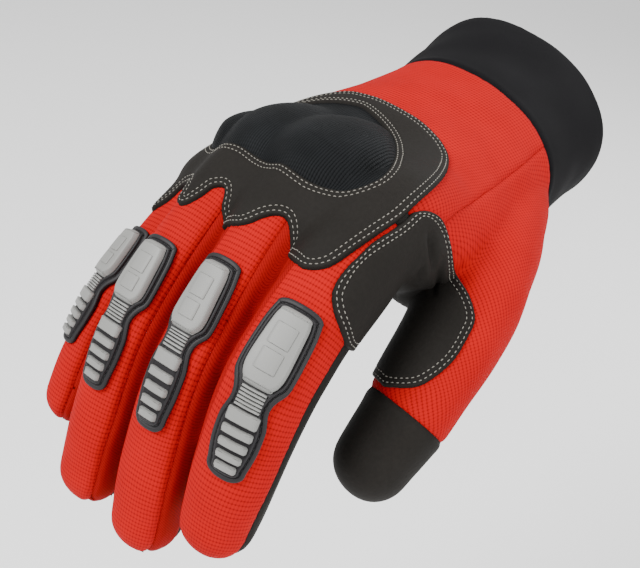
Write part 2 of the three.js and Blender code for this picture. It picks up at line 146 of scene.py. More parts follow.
# Height that the palm's leather reaches between thumb and index finger, and x past which
# what lies between the seams is leather too
WEB_HEIGHT = -9.0
WEB_START = 25
WEB_SIDE = 26
# The palm's leather ends this far outside the thumb, beyond this y
THUMB_GAP = 0.9
THUMB_GAP_END = -62
# More than any distance on the glove
FAR = 99
# Planes on which the thumb's seams lie: a point and a direction
THUMB_SEAM = [[31.6, -45.3, 13.1], [0.965, 0.088, -0.246]]
THUMB_FORK = [[40, -118, 10.5], [0, 0.518, -0.855]]
CAP_EDGE = [[46.4, -127, -38.2], [-0.12, -0.72, -0.68]]

# Outlines in mm. The panel and the dome's window are seen from above: x, y
PANEL_OUTLINE = [
    [-22, -77.5], [-13.8, -77.3], [-6.7, -77.8], [1.4, -79.6], [8.1, -81.3], [13.7, -83.1],
    [18.4, -85.2], [23.5, -90], [29, -101.6], [32.1, -113.6], [32.6, -125.2], [31.5, -133.5],
    [30, -140.8], [28.2, -146.2], [25.7, -148.8], [22.9, -149.8], [20.6, -149.5], [17.6, -147.8],
    [14.4, -144.6], [11.7, -142], [8.8, -140], [6.9, -139.5], [4.6, -140.5], [2.4, -142.5],
    [0.4, -144.7], [-2.6, -145.8], [-6.2, -144.7], [-9.5, -142], [-12.4, -140.2], [-14.1, -139.3],
    [-15.2, -138.1], [-16, -136.6], [-17.2, -135.6], [-18.5, -135.9], [-19.9, -136.9],
    [-20.6, -139.1], [-21.6, -141.1], [-22.9, -142.8], [-24.5, -143.5], [-25.9, -143.1],
    [-27.6, -141.6], [-28.5, -139.1], [-30, -135.2], [-32.6, -132], [-36.2, -130.4],
    [-38.4, -131.2], [-40.1, -133], [-42.9, -135], [-46, -136.5], [-47.5, -128], [-47, -112],
    [-42, -95], [-33, -83],
]
DOME_OUTLINE = [
    [-13.4, -85.9], [-5.9, -87.9], [4.3, -93.5], [11.6, -101.2], [18.6, -112.4], [21.3, -119.5],
    [21, -124], [18, -127.5], [13, -129.3], [2.7, -130], [-5.8, -128], [-18.3, -124.5],
    [-27, -123.3], [-36, -119], [-42, -110], [-38, -98], [-28, -88.5],
]
# Height at which the panel ends on the little finger's side
LOW_EDGE = -14.0
# The cloth is tight over the knuckles as far as this past the panel, up to this x and above this z
BRIDGE_REACH = 9.0
BRIDGE_SIDE = 33.0
BRIDGE_HEIGHT = -22.0
# Humps of the padding as ellipsoids: middle, then half-axes
HUMPS = [
    [2, -110, 14, 20, 21, 10.7],
    [-18, -106, 12, 16, 20, 8.8],
    [-33, -105, 5.8, 11, 16, 8],
]
# How far the dome's cloth is tucked under the panel; its height at the edge, and how much it
# rises over which distance, in mm
DOME_TUCK = 1.2
DOME_BASE = (0.25, 0.5, 6)
# Share of a hump's half-axes squared from which its foot runs straight, and the blend in mm
HUMP_FOOT = 0.12
HUMP_BLEND = 0.6
# Edge of the crotch patch on the hand, seen from VIEWPOINT: x, y, z
PATCH_EDGE = [
    [38.1, -151.5, -8.3], [37, -153.1, -3.8], [34.4, -153.5, 0.6], [32.2, -151.7, 4.2],
    [31.7, -147.3, 7.7], [32.3, -141.1, 11.2], [32.7, -130.4, 15.4], [33.7, -123.3, 16.3],
    [35, -118, 15.4], [36.8, -113.8, 12.3], [40.1, -112.5, 6], [41.1, -107.6, -2.9],
    [47, -107.6, -7.8], [51.8, -111.1, -11.1], [53.1, -115.2, -14], [53.6, -121.6, -18.6],
    [52, -127.4, -22.4], [49.2, -131.5, -25.1], [42.1, -133.9, -28.1],
]
# The patch ends this far from the knuckle panel, at this x, and where the surface turns this
# much from the camera
PATCH_GAP = 0.5
PATCH_SIDE = 24
PATCH_TURN = -0.6
# Least height of its leather in a crease
CREASE_FLOOR = 0.12
# Creases of the crotch patch in the same picture: from x, y to x, y, half-width, depth in mm.
# The leather swells beside a crease by less than its depth
CREASES = [
    [34, 16, 35.5, 4, 1.3, 2.1],
    [29.5, 2, 32.5, 7, 1.0, 1.5],
    [37.5, 9, 37, -4, 1.1, 1.5],
]
# The camera: place in mm; azimuth, elevation and roll in degrees; lens in mm
VIEWPOINT = [129.5, -308.3, 117.8]
VIEW_TURN = [32.8, 31.4, 10.0]
VIEW_LENS = 52.65
# Distance in mm at which the picture coordinates of VIEWPOINT are measured
VIEW_DISTANCE = 300

# Rows of stitches from an edge, with the half-width and depth of their grooves, in mm
STITCH_ROWS = (1.2, 2.5)
GROOVE_WIDTH = 0.4
GROOVE_DEPTH = 0.16
# A stitch: length, radius and height of its arch
STITCH = (0.95, 0.15, 0.16)
# Steepest surface that carries the panel's stitches, as the upward part of its direction
STITCH_SLOPE = 0.3
# How far a patch's round edge reaches in and sinks into the cloth
PATCH_ROUND = 0.9
PATCH_SINK = 0.35
WINDOW_SINK = 0.3
# A seam's groove: half-width. Beside it the cloth swells: height, distance, half-width
SEAM_WIDTH = 0.7
SEAM_SWELL = (0.12, 2.2, 1.2)
# The cuff's rim is rounded by this depth over this distance
RIM_ROUND = (0.7, 1.1)
# Waves of worn cloth: turn per mm along x, y and z, start of the turn, height in mm
FOLDS = [
    (0.21, 0.13, 0.17, 0.4, 0.10), (-0.16, 0.24, 0.08, 1.9, 0.09),
    (0.09, -0.31, 0.22, 3.1, 0.07), (0.35, 0.18, -0.2, 5.0, 0.05),
]
# Height of the ribs' and the grain's relief in m
RIB_RELIEF = 0.0003
GRAIN_RELIEF = 0.0002

# Guards: start along the finger, length, middle in degrees at start and end, width scale
GUARDS = {
    "index": [79, 40, 4, 9, 1],
    "middle": [75, 42, -10, -4, 0.97],
    "ring": [75.5, 39.5, -5, 0, 0.94],
    "little": [69, 36, -10, -8, 0.88],
}
# Share of the length, half-width in mm
GUARD_BASE = [
    [0.045, 6], [0.12, 6.7], [0.22, 7.1], [0.36, 7.3], [0.43, 6.9], [0.48, 5.4],
    [0.515, 4.7], [0.55, 4.6], [0.59, 5.1], [0.65, 5.7], [0.76, 5.6], [0.84, 5.1], [0.9, 4.6],
]
GUARD_HEAD = [[0.08, 3.6], [0.12, 4], [0.25, 4.4], [0.37, 4.6], [0.42, 4.1], [0.445, 3.3]]
HEAD_ENDS = [0.05, 0.462]
# Raised windows on the head: from, to, half-width
HEAD_WINDOWS = [[0.14, 0.265, 2.05], [0.29, 0.39, 2.0]]
NECK_RIBS = [0.475, 0.492, 0.509, 0.526, 0.543, 0.56]
NECK_RIB = [0.22, 2.7]
# Middle along the guard as a share, half-length and half-width in mm
GUARD_BARS = [
    [0.612, 1.35, 3.5], [0.692, 0.88, 3.4], [0.765, 0.88, 3.15], [0.838, 0.86, 2.8],
    [0.908, 0.92, 2.35],
]
# Sections of the raised parts: moved in along, moved in across, height
BASE_SECTION = [
    (0, 0, -0.3), (0, 0, 0.7), (0.1, 0.1, 0.95), (0.3, 0.3, 1.1), (1.0, 1.0, 1.1),
    (1.15, 1.15, 1.0), (1.22, 1.22, 0.7), (1.5, 1.5, 0.7), (1.6, 1.6, 1.1), (1.75, 1.75, 1.4),
    (2.05, 2.05, 1.5), (2.3, 2.3, 1.4), (2.45, 2.45, 1.1),
]
HEAD_SECTION = [(0, 0, 0.9), (0, 0, 1.5), (0.08, 0.08, 1.65), (0.6, 0.65, 2.6), (0.75, 0.85, 2.75),
                (0.95, 1.1, 2.8)]
WINDOW_SECTION = [(0, 0, 2.5), (0, 0, 2.95), (0.1, 0.1, 3.05)]
RIB_SECTION = [(0, 0, 0.8), (0, 0.1, 1.75), (0.06, 0.3, 1.95)]
BAR_SECTION = [(0, 0, 0.8), (0, 0.1, 1.6), (0.08, 0.6, 2.2), (0.25, 0.8, 2.35)]

# Stitches beside a guard: distance in from its outline and height on it, then their pitch,
# length, radius and arch
GUARD_ROW = (1.36, 0.78)
GUARD_STITCH = (1.5, 0.95, 0.15, 0.2)

# Stage in m: half the floor's side, its depth below the glove, the point that the lights face.
# The sky's strength.
# Lights: name, place, watts, size
FLOOR_SIZE = 4.0
FLOOR_DEPTH = 0.22
LIT_POINT = (0.01, -0.11, -0.01)
SKY = 0.95
LIGHTS = [
    ("key", (-0.35, -0.75, 0.75), 16.0, 0.5),
    ("fill", (0.75, -0.35, 0.35), 6.0, 0.6),
    ("back", (0.2, 0.75, 0.6), 7.0, 0.5),
]


# Form

def sample_rows(rows, positions=None, count=0):
    """Rows between a table's rows: a cubic that passes through each, with slopes from its
    neighbours, taken at distances along the line through x, y, z."""
    rows = np.asarray(rows, float)
    steps = np.linalg.norm(np.diff(rows[:, :3], axis=0), axis=1)
    along = np.concatenate([[0.0], np.cumsum(steps)])
    if positions is None:
        positions = np.linspace(0, along[-1], count)
    number = np.arange(len(rows))
    before, after = np.maximum(number - 1, 0), np.minimum(number + 1, len(rows) - 1)
    slope = (rows[after] - rows[before]) / (along[after] - along[before])[:, None]
    i = np.clip(np.searchsorted(along, positions, side="right") - 1, 0, len(rows) - 2)
    span = (along[i + 1] - along[i])[:, None]
    u = (np.asarray(positions)[:, None] - along[i][:, None]) / span
    bend = u * (1 - u) * span * ((1 - u) * slope[i] - u * slope[i + 1])
    return rows[i] + (rows[i + 1] - rows[i]) * u * u * (3 - 2 * u) + bend


def values_at(places, along, rows):
    """Rows of values at places along a line, mixed from the rows on either side."""
    return np.stack([np.interp(places, along, column) for column in rows.T], axis=1)


def table_length(rows):
    """Length of the line through a table's points."""
    return float(np.linalg.norm(np.diff(np.asarray(rows)[:, :3], axis=0), axis=1).sum())


def unit(vectors):
    """Vectors of length one."""
    return vectors / np.maximum(np.linalg.norm(vectors, axis=-1, keepdims=True), 1e-12)


def frames(samples):
    """Centre, forward, sideways and outward direction, half-width and half-height of each row.
    Sideways is square to forward and level, and both turn by the row's roll."""
    centre = samples[:, :3]
    number = np.arange(len(samples))
    ahead, behind = np.minimum(number + 1, len(samples) - 1), np.maximum(number - 1, 0)
    forward = unit(centre[ahead] - centre[behind])
    side = unit(np.cross([0, 0, 1], forward))
    side = np.where(side[:, :1] < 0, -side, side)
    out = np.cross(forward, side)
    roll = np.radians(samples[:, 5])[:, None]
    turned = side * np.cos(roll) - out * np.sin(roll)
    out = out * np.cos(roll) + side * np.sin(roll)
    return centre, forward, turned, out, samples[:, 3], samples[:, 4]


def rounded(values):
    """Sine or cosine bent towards a squarer section."""
    return np.sign(values) * np.abs(values) ** (2 / SECTION_POWER)


def grid_faces(rows, columns, closed):
    """Quads between neighbouring rows and columns; closed joins the last column to the first."""
    wide = columns if closed else columns - 1
    i, j = np.meshgrid(np.arange(rows - 1), np.arange(wide), indexing="ij")
    k = (j + 1) % columns
    quads = [i * columns + j, i * columns + k, (i + 1) * columns + k, (i + 1) * columns + j]
    return np.stack(quads, axis=-1).reshape(-1, 4)


def tube(rows, along, around, tip, start=0.0):
    """Point(s, a) = centre(s) + side * w * sin(a) + out * h * cos(a), with bent sine and cosine.
    Past the last row the section shrinks as a quarter circle, and before the first it runs on
    straight for the start distance."""
    centre, forward, side, out, wide, high = frames(sample_rows(rows, count=along))
    bow = np.radians(np.linspace(0, 90, 9)[1:])
    length = min(wide[-1], high[-1]) * tip
    centre = np.concatenate([centre, centre[-1] + forward[-1] * length * np.sin(bow)[:, None]])
    shrink = np.maximum(np.concatenate([np.ones(along), np.cos(bow)]), 1e-3)
    number = np.minimum(np.arange(len(centre)), along - 1)
    if start:
        centre = np.concatenate([centre[:1] - forward[:1] * start, centre])
        number, shrink = np.concatenate([[0], number]), np.concatenate([[1.0], shrink])
    angle = np.linspace(0, 2 * np.pi, around, endpoint=False)
    across = (wide[number] * shrink)[:, None] * rounded(np.sin(angle))
    up = (high[number] * shrink)[:, None] * rounded(np.cos(angle))
    points = centre[:, None] + across[..., None] * side[number][:, None]
    points = points + up[..., None] * out[number][:, None]
    faces = grid_faces(len(centre), around, True)
    ring = np.arange(around)
    caps = np.stack([np.full(around, len(centre) * around), ring, (ring + 1) % around], axis=1)
    last = (len(centre) - 1) * around
    ends = np.stack([np.full(around, len(centre) * around + 1), last + (ring + 1) % around,
                     last + ring], axis=1)
    points = np.concatenate([points.reshape(-1, 3), centre[:1], centre[-1:]])
    triangles = np.concatenate([faces[:, :3], faces[:, [0, 2, 3]], caps, ends])
    return points, triangles[:, ::-1]


def joined(parts):
    """Several (points, faces) as one."""
    offsets = np.concatenate([[0], np.cumsum([len(points) for points, _ in parts])])
    points = np.concatenate([points for points, _ in parts])
    return points, np.concatenate([faces + o for (_, faces), o in zip(parts, offsets)])


def around_tube(points, rows, tip=1.0):
    """For each point: distance along a tube, angle from the middle of its back, about how far
    it is outside the surface, and the mean radius there."""
    count = max(int(table_length(rows) / 1.5), 8)
    length = table_length(rows)
    centre, forward, side, out, wide, high = frames(sample_rows(rows, count=count))
    far = (centre ** 2).sum(1) - 2 * points @ centre.T
    place = far.argmin(1) * (length / (count - 1))
    samples = np.linspace(0, length, count)
    for _ in range(3):
        offset = points - values_at(place, samples, centre)
        ahead = unit(values_at(place, samples, forward))
        inside = np.clip(place, 0, length)
        place = inside + (offset * ahead).sum(1)
    offset = points - values_at(place, samples, centre)
    w, h = np.interp(place, samples, wide), np.interp(place, samples, high)
    x = (offset * unit(values_at(place, samples, side))).sum(1) / w
    z = (offset * unit(values_at(place, samples, out))).sum(1) / h
    ratio = (np.abs(x) ** SECTION_POWER + np.abs(z) ** SECTION_POWER) ** (1 / SECTION_POWER)
    past = np.maximum(place - length, 0) / (np.minimum(w, h) * tip)
    outside = (np.hypot(ratio, past) - 1) * np.minimum(w, h)
    outside = np.maximum(outside, -place)
    return place, np.arctan2(x, z), outside, (w + h) / 2


# Arrays on a triangle mesh

def edges_of(triangles):
    """Every edge once, as pairs of points."""
    pairs = np.sort(triangles[:, [0, 1, 1, 2, 2, 0]].reshape(-1, 2), axis=1)
    top = pairs.max() + 1
    keys = np.unique(pairs[:, 0].astype(np.int64) * top + pairs[:, 1])
    return np.stack([keys // top, keys % top], axis=1)


def relaxed(values, edges, rounds, share=0.5, free=None):
    """Each row of values moves part of the way to the mean of its neighbours, several times."""
    values = np.array(values, float).reshape(len(values), -1)
    count = np.maximum(np.bincount(edges.ravel(), minlength=len(values)), 1)[:, None]
    a, b = edges.T
    for _ in range(rounds):
        total = [np.bincount(a, v[b], len(v)) + np.bincount(b, v[a], len(v)) for v in values.T]
        step = share * (np.stack(total, axis=1) / count - values)
        values = values + (step if free is None else step * free[:, None])
    return values


def normals_of(points, triangles):
    """Outward direction of each point, from the areas of its triangles."""
    a, b, c = (points[triangles[:, k]] for k in range(3))
    flat = np.cross(b - a, c - a)
    total = np.zeros_like(points)
    for axis in range(3):
        for k in range(3):
            total[:, axis] += np.bincount(triangles[:, k], flat[:, axis], len(points))
    return unit(total)


def slope_of(points, triangles, values):
    """How fast a value changes along the surface at each point."""
    a, b, c = (points[triangles[:, k]] for k in range(3))
    fa, fb, fc = (values[triangles[:, k]] for k in range(3))
    flat = np.cross(b - a, c - a)
    double = np.maximum(np.linalg.norm(flat, axis=1), 1e-9)
    turn = flat / double[:, None]
    rate = (fb - fa)[:, None] * np.cross(turn, a - c) + (fc - fa)[:, None] * np.cross(turn, b - a)
    size = np.linalg.norm(rate, axis=1)
    total = sum(np.bincount(triangles[:, k], size, len(points)) for k in range(3))
    weight = sum(np.bincount(triangles[:, k], double, len(points)) for k in range(3))
    return total / np.maximum(weight, 1e-9)


def border_points(triangles):
    """Points on an edge that only one triangle has."""
    pairs = np.sort(triangles[:, [0, 1, 1, 2, 2, 0]].reshape(-1, 2), axis=1)
    found, times = np.unique(pairs, axis=0, return_counts=True)
    return np.unique(found[times == 1])


def distance_from(points, edges, sources, reach):
    """Shortest way along edges to the nearest source point, up to a reach."""
    a, b = edges.T
    length = np.linalg.norm(points[a] - points[b], axis=1)
    away = np.full(len(points), float(reach))
    away[sources] = 0
    for _ in range(16):
        new = away.copy()
        np.minimum.at(new, a, away[b] + length)
        np.minimum.at(new, b, away[a] + length)
        away = new
    return away


def cut(points, data, triangles, column):
    """Splits the triangles that a field's zero line crosses, at that line. A new point lies
    where the field is zero between two corners, and its other values are mixed the same way."""
    field = data[:, column]
    field[np.abs(field) < NEAR_LINE] = 0
    sign = np.sign(field[triangles])
    crossing = (sign.max(1) > 0) & (sign.min(1) < 0)
    whole, split, sign = triangles[~crossing], triangles[crossing], sign[crossing]
    on_line = (sign == 0).any(1)
    first = np.where(on_line, (sign == 0).argmax(1), 0)
    positive = (sign > 0).sum(1) == 1
    lone = np.where(positive, (sign > 0).argmax(1), (sign < 0).argmax(1))
    first = np.where(on_line, first, lone)
    row = np.arange(len(split))
    p, q, r = (split[row, (first + k) % 3] for k in range(3))
    pairs = np.concatenate([
        np.stack([q, r], 1)[on_line], np.stack([p, q], 1)[~on_line], np.stack([p, r], 1)[~on_line]])
    pairs = np.sort(pairs, axis=1)
    top = len(points)
    keys, back = np.unique(pairs[:, 0].astype(np.int64) * top + pairs[:, 1], return_inverse=True)
    back = back.ravel() + top
    a, b = keys // top, keys % top
    share = (field[a] / (field[a] - field[b]))[:, None]
    points = np.concatenate([points, points[a] + share * (points[b] - points[a])])
    data = np.concatenate([data, data[a] + share * (data[b] - data[a])])
    data[top:, column] = 0
    n, m = int(on_line.sum()), int((~on_line).sum())
    mid, left, right = back[:n], back[n:n + m], back[n + m:]
    po, qo, ro = p[on_line], q[on_line], r[on_line]
    pl, ql, rl = p[~on_line], q[~on_line], r[~on_line]
    new = [whole, np.stack([po, qo, mid], 1), np.stack([po, mid, ro], 1),
           np.stack([pl, left, right], 1), np.stack([left, ql, rl], 1),
           np.stack([left, rl, right], 1)]
    return points, data, np.concatenate(new)


def kept(points, data, triangles, keep):
    """Only the chosen triangles, with the points that they use."""
    triangles = triangles[keep]
    used, back = np.unique(triangles, return_inverse=True)
    return points[used], data[used], back.reshape(-1, 3)


def finer(points, data, triangles):
    """Each triangle in four, with new points in the middle of its edges."""
    edges = edges_of(triangles)
    top = len(points)
    keys = edges[:, 0] * top + edges[:, 1]

    def middle(i, j):
        pair = np.sort(triangles[:, [i, j]].astype(np.int64), axis=1)
        return top + np.searchsorted(keys, pair[:, 0] * top + pair[:, 1])

    a, b, c = triangles.T
    ab, bc, ca = middle(0, 1), middle(1, 2), middle(2, 0)
    new = [(a, ab, ca), (ab, b, bc), (ca, bc, c), (ab, bc, ca)]
    mix = [(values[edges[:, 0]] + values[edges[:, 1]]) / 2 for values in (points, data)]
    points, data = np.concatenate([points, mix[0]]), np.concatenate([data, mix[1]])
    return points, data, np.concatenate([np.stack(corners, 1) for corners in new])


def level_lines(points, normals, triangles, field, level):
    """Chains of (points, normals) where a field reaches a level on the mesh."""
    value = np.where(np.abs(field - level) < 1e-6, 1e-6, field - level)
    above = value[triangles] > 0
    crossing = above.any(1) & ~above.all(1)
    t, above = triangles[crossing], above[crossing]
    lone = np.where(above.sum(1) == 1, above.argmax(1), (~above).argmax(1))
    row = np.arange(len(t))
    p, q, r = (t[row, (lone + k) % 3] for k in range(3))
    pairs = np.sort(np.concatenate([np.stack([p, q], 1), np.stack([p, r], 1)]), axis=1)
    found, back = np.unique(pairs, axis=0, return_inverse=True)
    back = back.ravel()
    a, b = found.T
    share = (value[a] / (value[a] - value[b]))[:, None]
    where = points[a] + share * (points[b] - points[a])
    facing = unit(normals[a] + share * (normals[b] - normals[a]))
    links = [[] for _ in found]
    for i, j in zip(back[:len(t)].tolist(), back[len(t):].tolist()):
        links[i].append(j)
        links[j].append(i)
    seen, chains = set(), []
    ends = [i for i, near in enumerate(links) if len(near) == 1]
    for begin in ends + list(range(len(links))):
        if begin in seen:
            continue
        chain, here = [begin], begin
        seen.add(begin)
        while True:
            onward = [j for j in links[here] if j not in seen]
            if not onward:
                break
            here = onward[0]
            seen.add(here)
            chain.append(here)
        if len(chain) > 12:
            if begin not in ends:
                chain.append(begin)
            chains.append((where[chain], facing[chain]))
    return chains


def polygon_distance(x, y, outline):
    """Distance inside a closed outline, less than zero outside it."""
    a = np.asarray(outline, float)
    b = np.roll(a, -1, axis=0)
    best = np.full(len(x), 1e9)
    inside = np.zeros(len(x), bool)
    for (ax, ay), (bx, by) in zip(a, b):
        ex, ey = bx - ax, by - ay
        t = np.clip(((x - ax) * ex + (y - ay) * ey) / (ex * ex + ey * ey + 1e-12), 0, 1)
        best = np.minimum(best, np.hypot(x - ax - t * ex, y - ay - t * ey))
        crosses = (ay > y) != (by > y)
        inside ^= crosses & (x < ex * (y - ay) / (ey if ey else 1e-12) + ax)
    return np.where(inside, best, -best)


def smooth_outline(outline, closed=True, steps=5):
    """A cubic through an outline's points, with slopes from their neighbours."""
    p = np.asarray(outline, float)
    last = len(p) if closed else len(p) - 1
    i = np.arange(last)
    if closed:
        p0, p1, p2, p3 = (p[(i + k) % len(p)] for k in (-1, 0, 1, 2))
    else:
        p0, p1, p2, p3 = (p[np.clip(i + k, 0, len(p) - 1)] for k in (-1, 0, 1, 2))
    u = np.linspace(0, 1, steps, endpoint=False)[:, None, None]
    cubic = 0.5 * (2 * p1 + (p2 - p0) * u + (2 * p0 - 5 * p1 + 4 * p2 - p3) * u ** 2
                   + (3 * p1 - p0 - 3 * p2 + p3) * u ** 3)
    line = cubic.transpose(1, 0, 2).reshape(-1, p.shape[1])
    return line if closed else np.concatenate([line, p[-1:]])


def view_axes(turn):
    """Directions across, above and back to the viewer, from azimuth, elevation and roll."""
    azimuth, elevation, roll = np.radians(turn)
    back = np.array([np.sin(azimuth) * np.cos(elevation), -np.cos(azimuth) * np.cos(elevation),
                     np.sin(elevation)])
    right = np.array([np.cos(azimuth), np.sin(azimuth), 0])
    up = np.cross(back, right)
    return right * np.cos(roll) + up * np.sin(roll), up * np.cos(roll) - right * np.sin(roll), back


def seen_from(points, eye, turn):
    """Picture coordinates of points from a viewpoint, in mm at VIEW_DISTANCE."""
    across, above, back = view_axes(turn)
    offset = points - np.asarray(eye)
    scale = -VIEW_DISTANCE / (offset @ back)
    return offset @ across * scale, offset @ above * scale


# The hand's cloth and leather, as one surface with its seams

def fused_hand(voxel):
    """All tubes of the hand as one closed surface, remeshed and smoothed."""
    parts = [tube(rows, 90, 64, 1.0) for rows in FINGERS.values()]
    parts.append(tube(THUMB, 90, 72, 1.0))
    parts.append(tube(WEB, 40, 56, 0.6))
    parts.append(tube(PALM, 80, 120, PALM_TIP, start=6.0))
    points, triangles = joined(parts)
    mesh = mesh_from("hand_form", points, triangles)
    form = bpy.data.objects.new("hand_form", mesh)
    bpy.context.scene.collection.objects.link(form)
    remesh = form.modifiers.new("remesh", "REMESH")
    remesh.mode = "VOXEL"
    remesh.voxel_size = voxel * MM
    shown = form.evaluated_get(bpy.context.evaluated_depsgraph_get())
    result = shown.to_mesh()
    points = np.zeros(len(result.vertices) * 3)
    result.vertices.foreach_get("co", points)
    points = points.reshape(-1, 3) / MM
    result.calc_loop_triangles()
    triangles = np.zeros(len(result.loop_triangles) * 3, np.int32)
    result.loop_triangles.foreach_get("vertices", triangles)
    triangles = triangles.reshape(-1, 3).astype(np.int64)
    shown.to_mesh_clear()
    bpy.data.objects.remove(form)
    bpy.data.meshes.remove(mesh)
    return relaxed(points, edges_of(triangles), 10), triangles


def bridged(points, triangles, weight, rounds=900):
    """The surface drawn tight over its hollows, as cloth and leather lie over the knuckles. Each
    point has a height above its place, along the smoothed normal. In each round it moves towards
    the mean of its neighbours, but never below zero. The weight then scales the heights,
    and the raised part is evened out."""
    near = (weight[triangles] > 0).all(1)
    used, back = np.unique(triangles[near], return_inverse=True)
    part = back.reshape(-1, 3)
    edges = edges_of(part)
    old = points[used]
    fixed = np.isin(np.arange(len(used)), border_points(part))
    outward = unit(relaxed(normals_of(old, part), edges, 60))
    count = np.bincount(edges.ravel(), minlength=len(used))[:, None]
    height = np.zeros(len(used))
    a, b = edges.T
    for _ in range(rounds):
        place = old + outward * height[:, None]
        total = [np.bincount(a, v[b], len(v)) + np.bincount(b, v[a], len(v)) for v in place.T]
        step = ((np.stack(total, axis=1) / count - place) * outward).sum(1)
        height = np.where(fixed, 0, np.maximum(height + 0.9 * step, 0))
    height = relaxed(height * weight[used], edges, 8)[:, 0]
    height = np.where(fixed, 0, height)
    moved = old + outward * height[:, None]
    points = points.copy()
    points[used] = relaxed(moved, edges, 40, free=np.clip(height * 2, 0, 1))
    return points


def plane_distance(points, plane):
    """Distance past a plane given by a point and a direction."""
    return (points - np.asarray(plane[0], float)) @ unit(np.asarray(plane[1], float))


def between_seams(angle, low, high, radius):
    """Distance inside two seams, each an angle in degrees that changes along the tube."""
    a = np.degrees(angle)
    a = np.where(a < (low + high) / 2 - 180, a + 360, a)
    return np.radians(np.minimum(a - low, high - a)) * radius


def seam_fields(points):
    """One column for each seam: more than zero on the side of the piece that it bounds.
    Then two columns of cloth coordinates for the back and two for the thumb, in mm."""
    palm = around_tube(points, PALM, PALM_TIP)
    thumb = around_tube(points, THUMB)
    fingers = {name: around_tube(points, rows) for name, rows in FINGERS.items()}
    y = points[:, 1]

    def band(name, which, place, angle, radius, start, length):
        share = np.clip((place - start) / length, 0, 1)
        root, tip = (np.array(row, float) for row in SEAMS[name])
        seam = root[:, None] + (tip - root)[:, None] * share
        if which == "back":
            return between_seams(angle, -seam[2], seam[0], radius)
        return between_seams(angle, seam[1], 360 - seam[3], radius)

    sides = {}
    for which in ("back", "palm"):
        share = (6 - y) / (6 - ROOT_SEAM["palm"])
        whole = band("palm", which, share, palm[1], palm[3], 0, 1)
        if which == "palm":
            below_web = np.where(points[:, 0] > WEB_START, WEB_HEIGHT - points[:, 2], FAR)
            beside_thumb = thumb[2] - THUMB_GAP + np.maximum(y - THUMB_GAP_END, 0)
            found = np.minimum(np.minimum(whole, beside_thumb), y - ROOT_SEAM["palm"])
            found = np.minimum(found, below_web)
            start = SEAM_START["thumb"] * table_length(THUMB)
            length = table_length(THUMB) + SEAM_PAST - start
            front = band("thumb", which, thumb[0], thumb[1], thumb[3], start, length)
            front = np.minimum(np.minimum(front, 1 - thumb[2]), thumb[0] - start)
            found = np.maximum(found, front)
        else:
            found = np.minimum(whole, y - ROOT_SEAM["back"])
        for name, (place, angle, outside, radius) in fingers.items():
            start = SEAM_START[name] * table_length(FINGERS[name])
            length = table_length(FINGERS[name]) + SEAM_PAST - start
            strip = band(name, which, place, angle, radius, start, length)
            strip = np.minimum(np.minimum(strip, 1 - outside), place - start)
            found = np.maximum(found, strip)
        sides[which] = found
    cap = np.minimum(plane_distance(points, CAP_EDGE), 1.5 - thumb[2])
    thumb_zone = np.minimum(plane_distance(points, THUMB_SEAM), plane_distance(points, THUMB_FORK))
    thumb_zone = np.minimum(thumb_zone, y - THUMB_ZONE_END)

    def nearness(outside):
        return np.exp(-np.maximum(outside, -2) / 1.5)

    weights, across, along = [nearness(palm[2])], [palm[1] * palm[3]], [palm[0]]
    for name, (place, angle, outside, radius) in fingers.items():
        rows = FINGERS[name]
        root, onward = 0.34 * table_length(rows), 0.36 * table_length(rows)
        centre, _, _, out, _, high = frames(sample_rows(rows, positions=[root, onward]))
        there = around_tube(centre[:1] + out[:1] * high[0], PALM, PALM_TIP)
        weights.append(nearness(outside))
        across.append(angle * radius + float(there[1][0] * there[3][0]))
        along.append(place - root + float(there[0][0]))
    total = sum(weights)
    back_u = sum(w * v for w, v in zip(weights, across)) / total
    back_v = sum(w * v for w, v in zip(weights, along)) / total
    reach = (thumb[2] / np.minimum(thumb[3], 12) + 1) * thumb[3]
    return {
        "rim": -y, "cuff": y + CUFF_LENGTH, "cap": cap, "leather": sides["palm"],
        "thumb": thumb_zone, "back": sides["back"], "back_u": back_u, "back_v": back_v,
        "thumb_u": thumb[1] * np.maximum(reach, thumb[3]), "thumb_v": thumb[0],
    }


FORM = {}


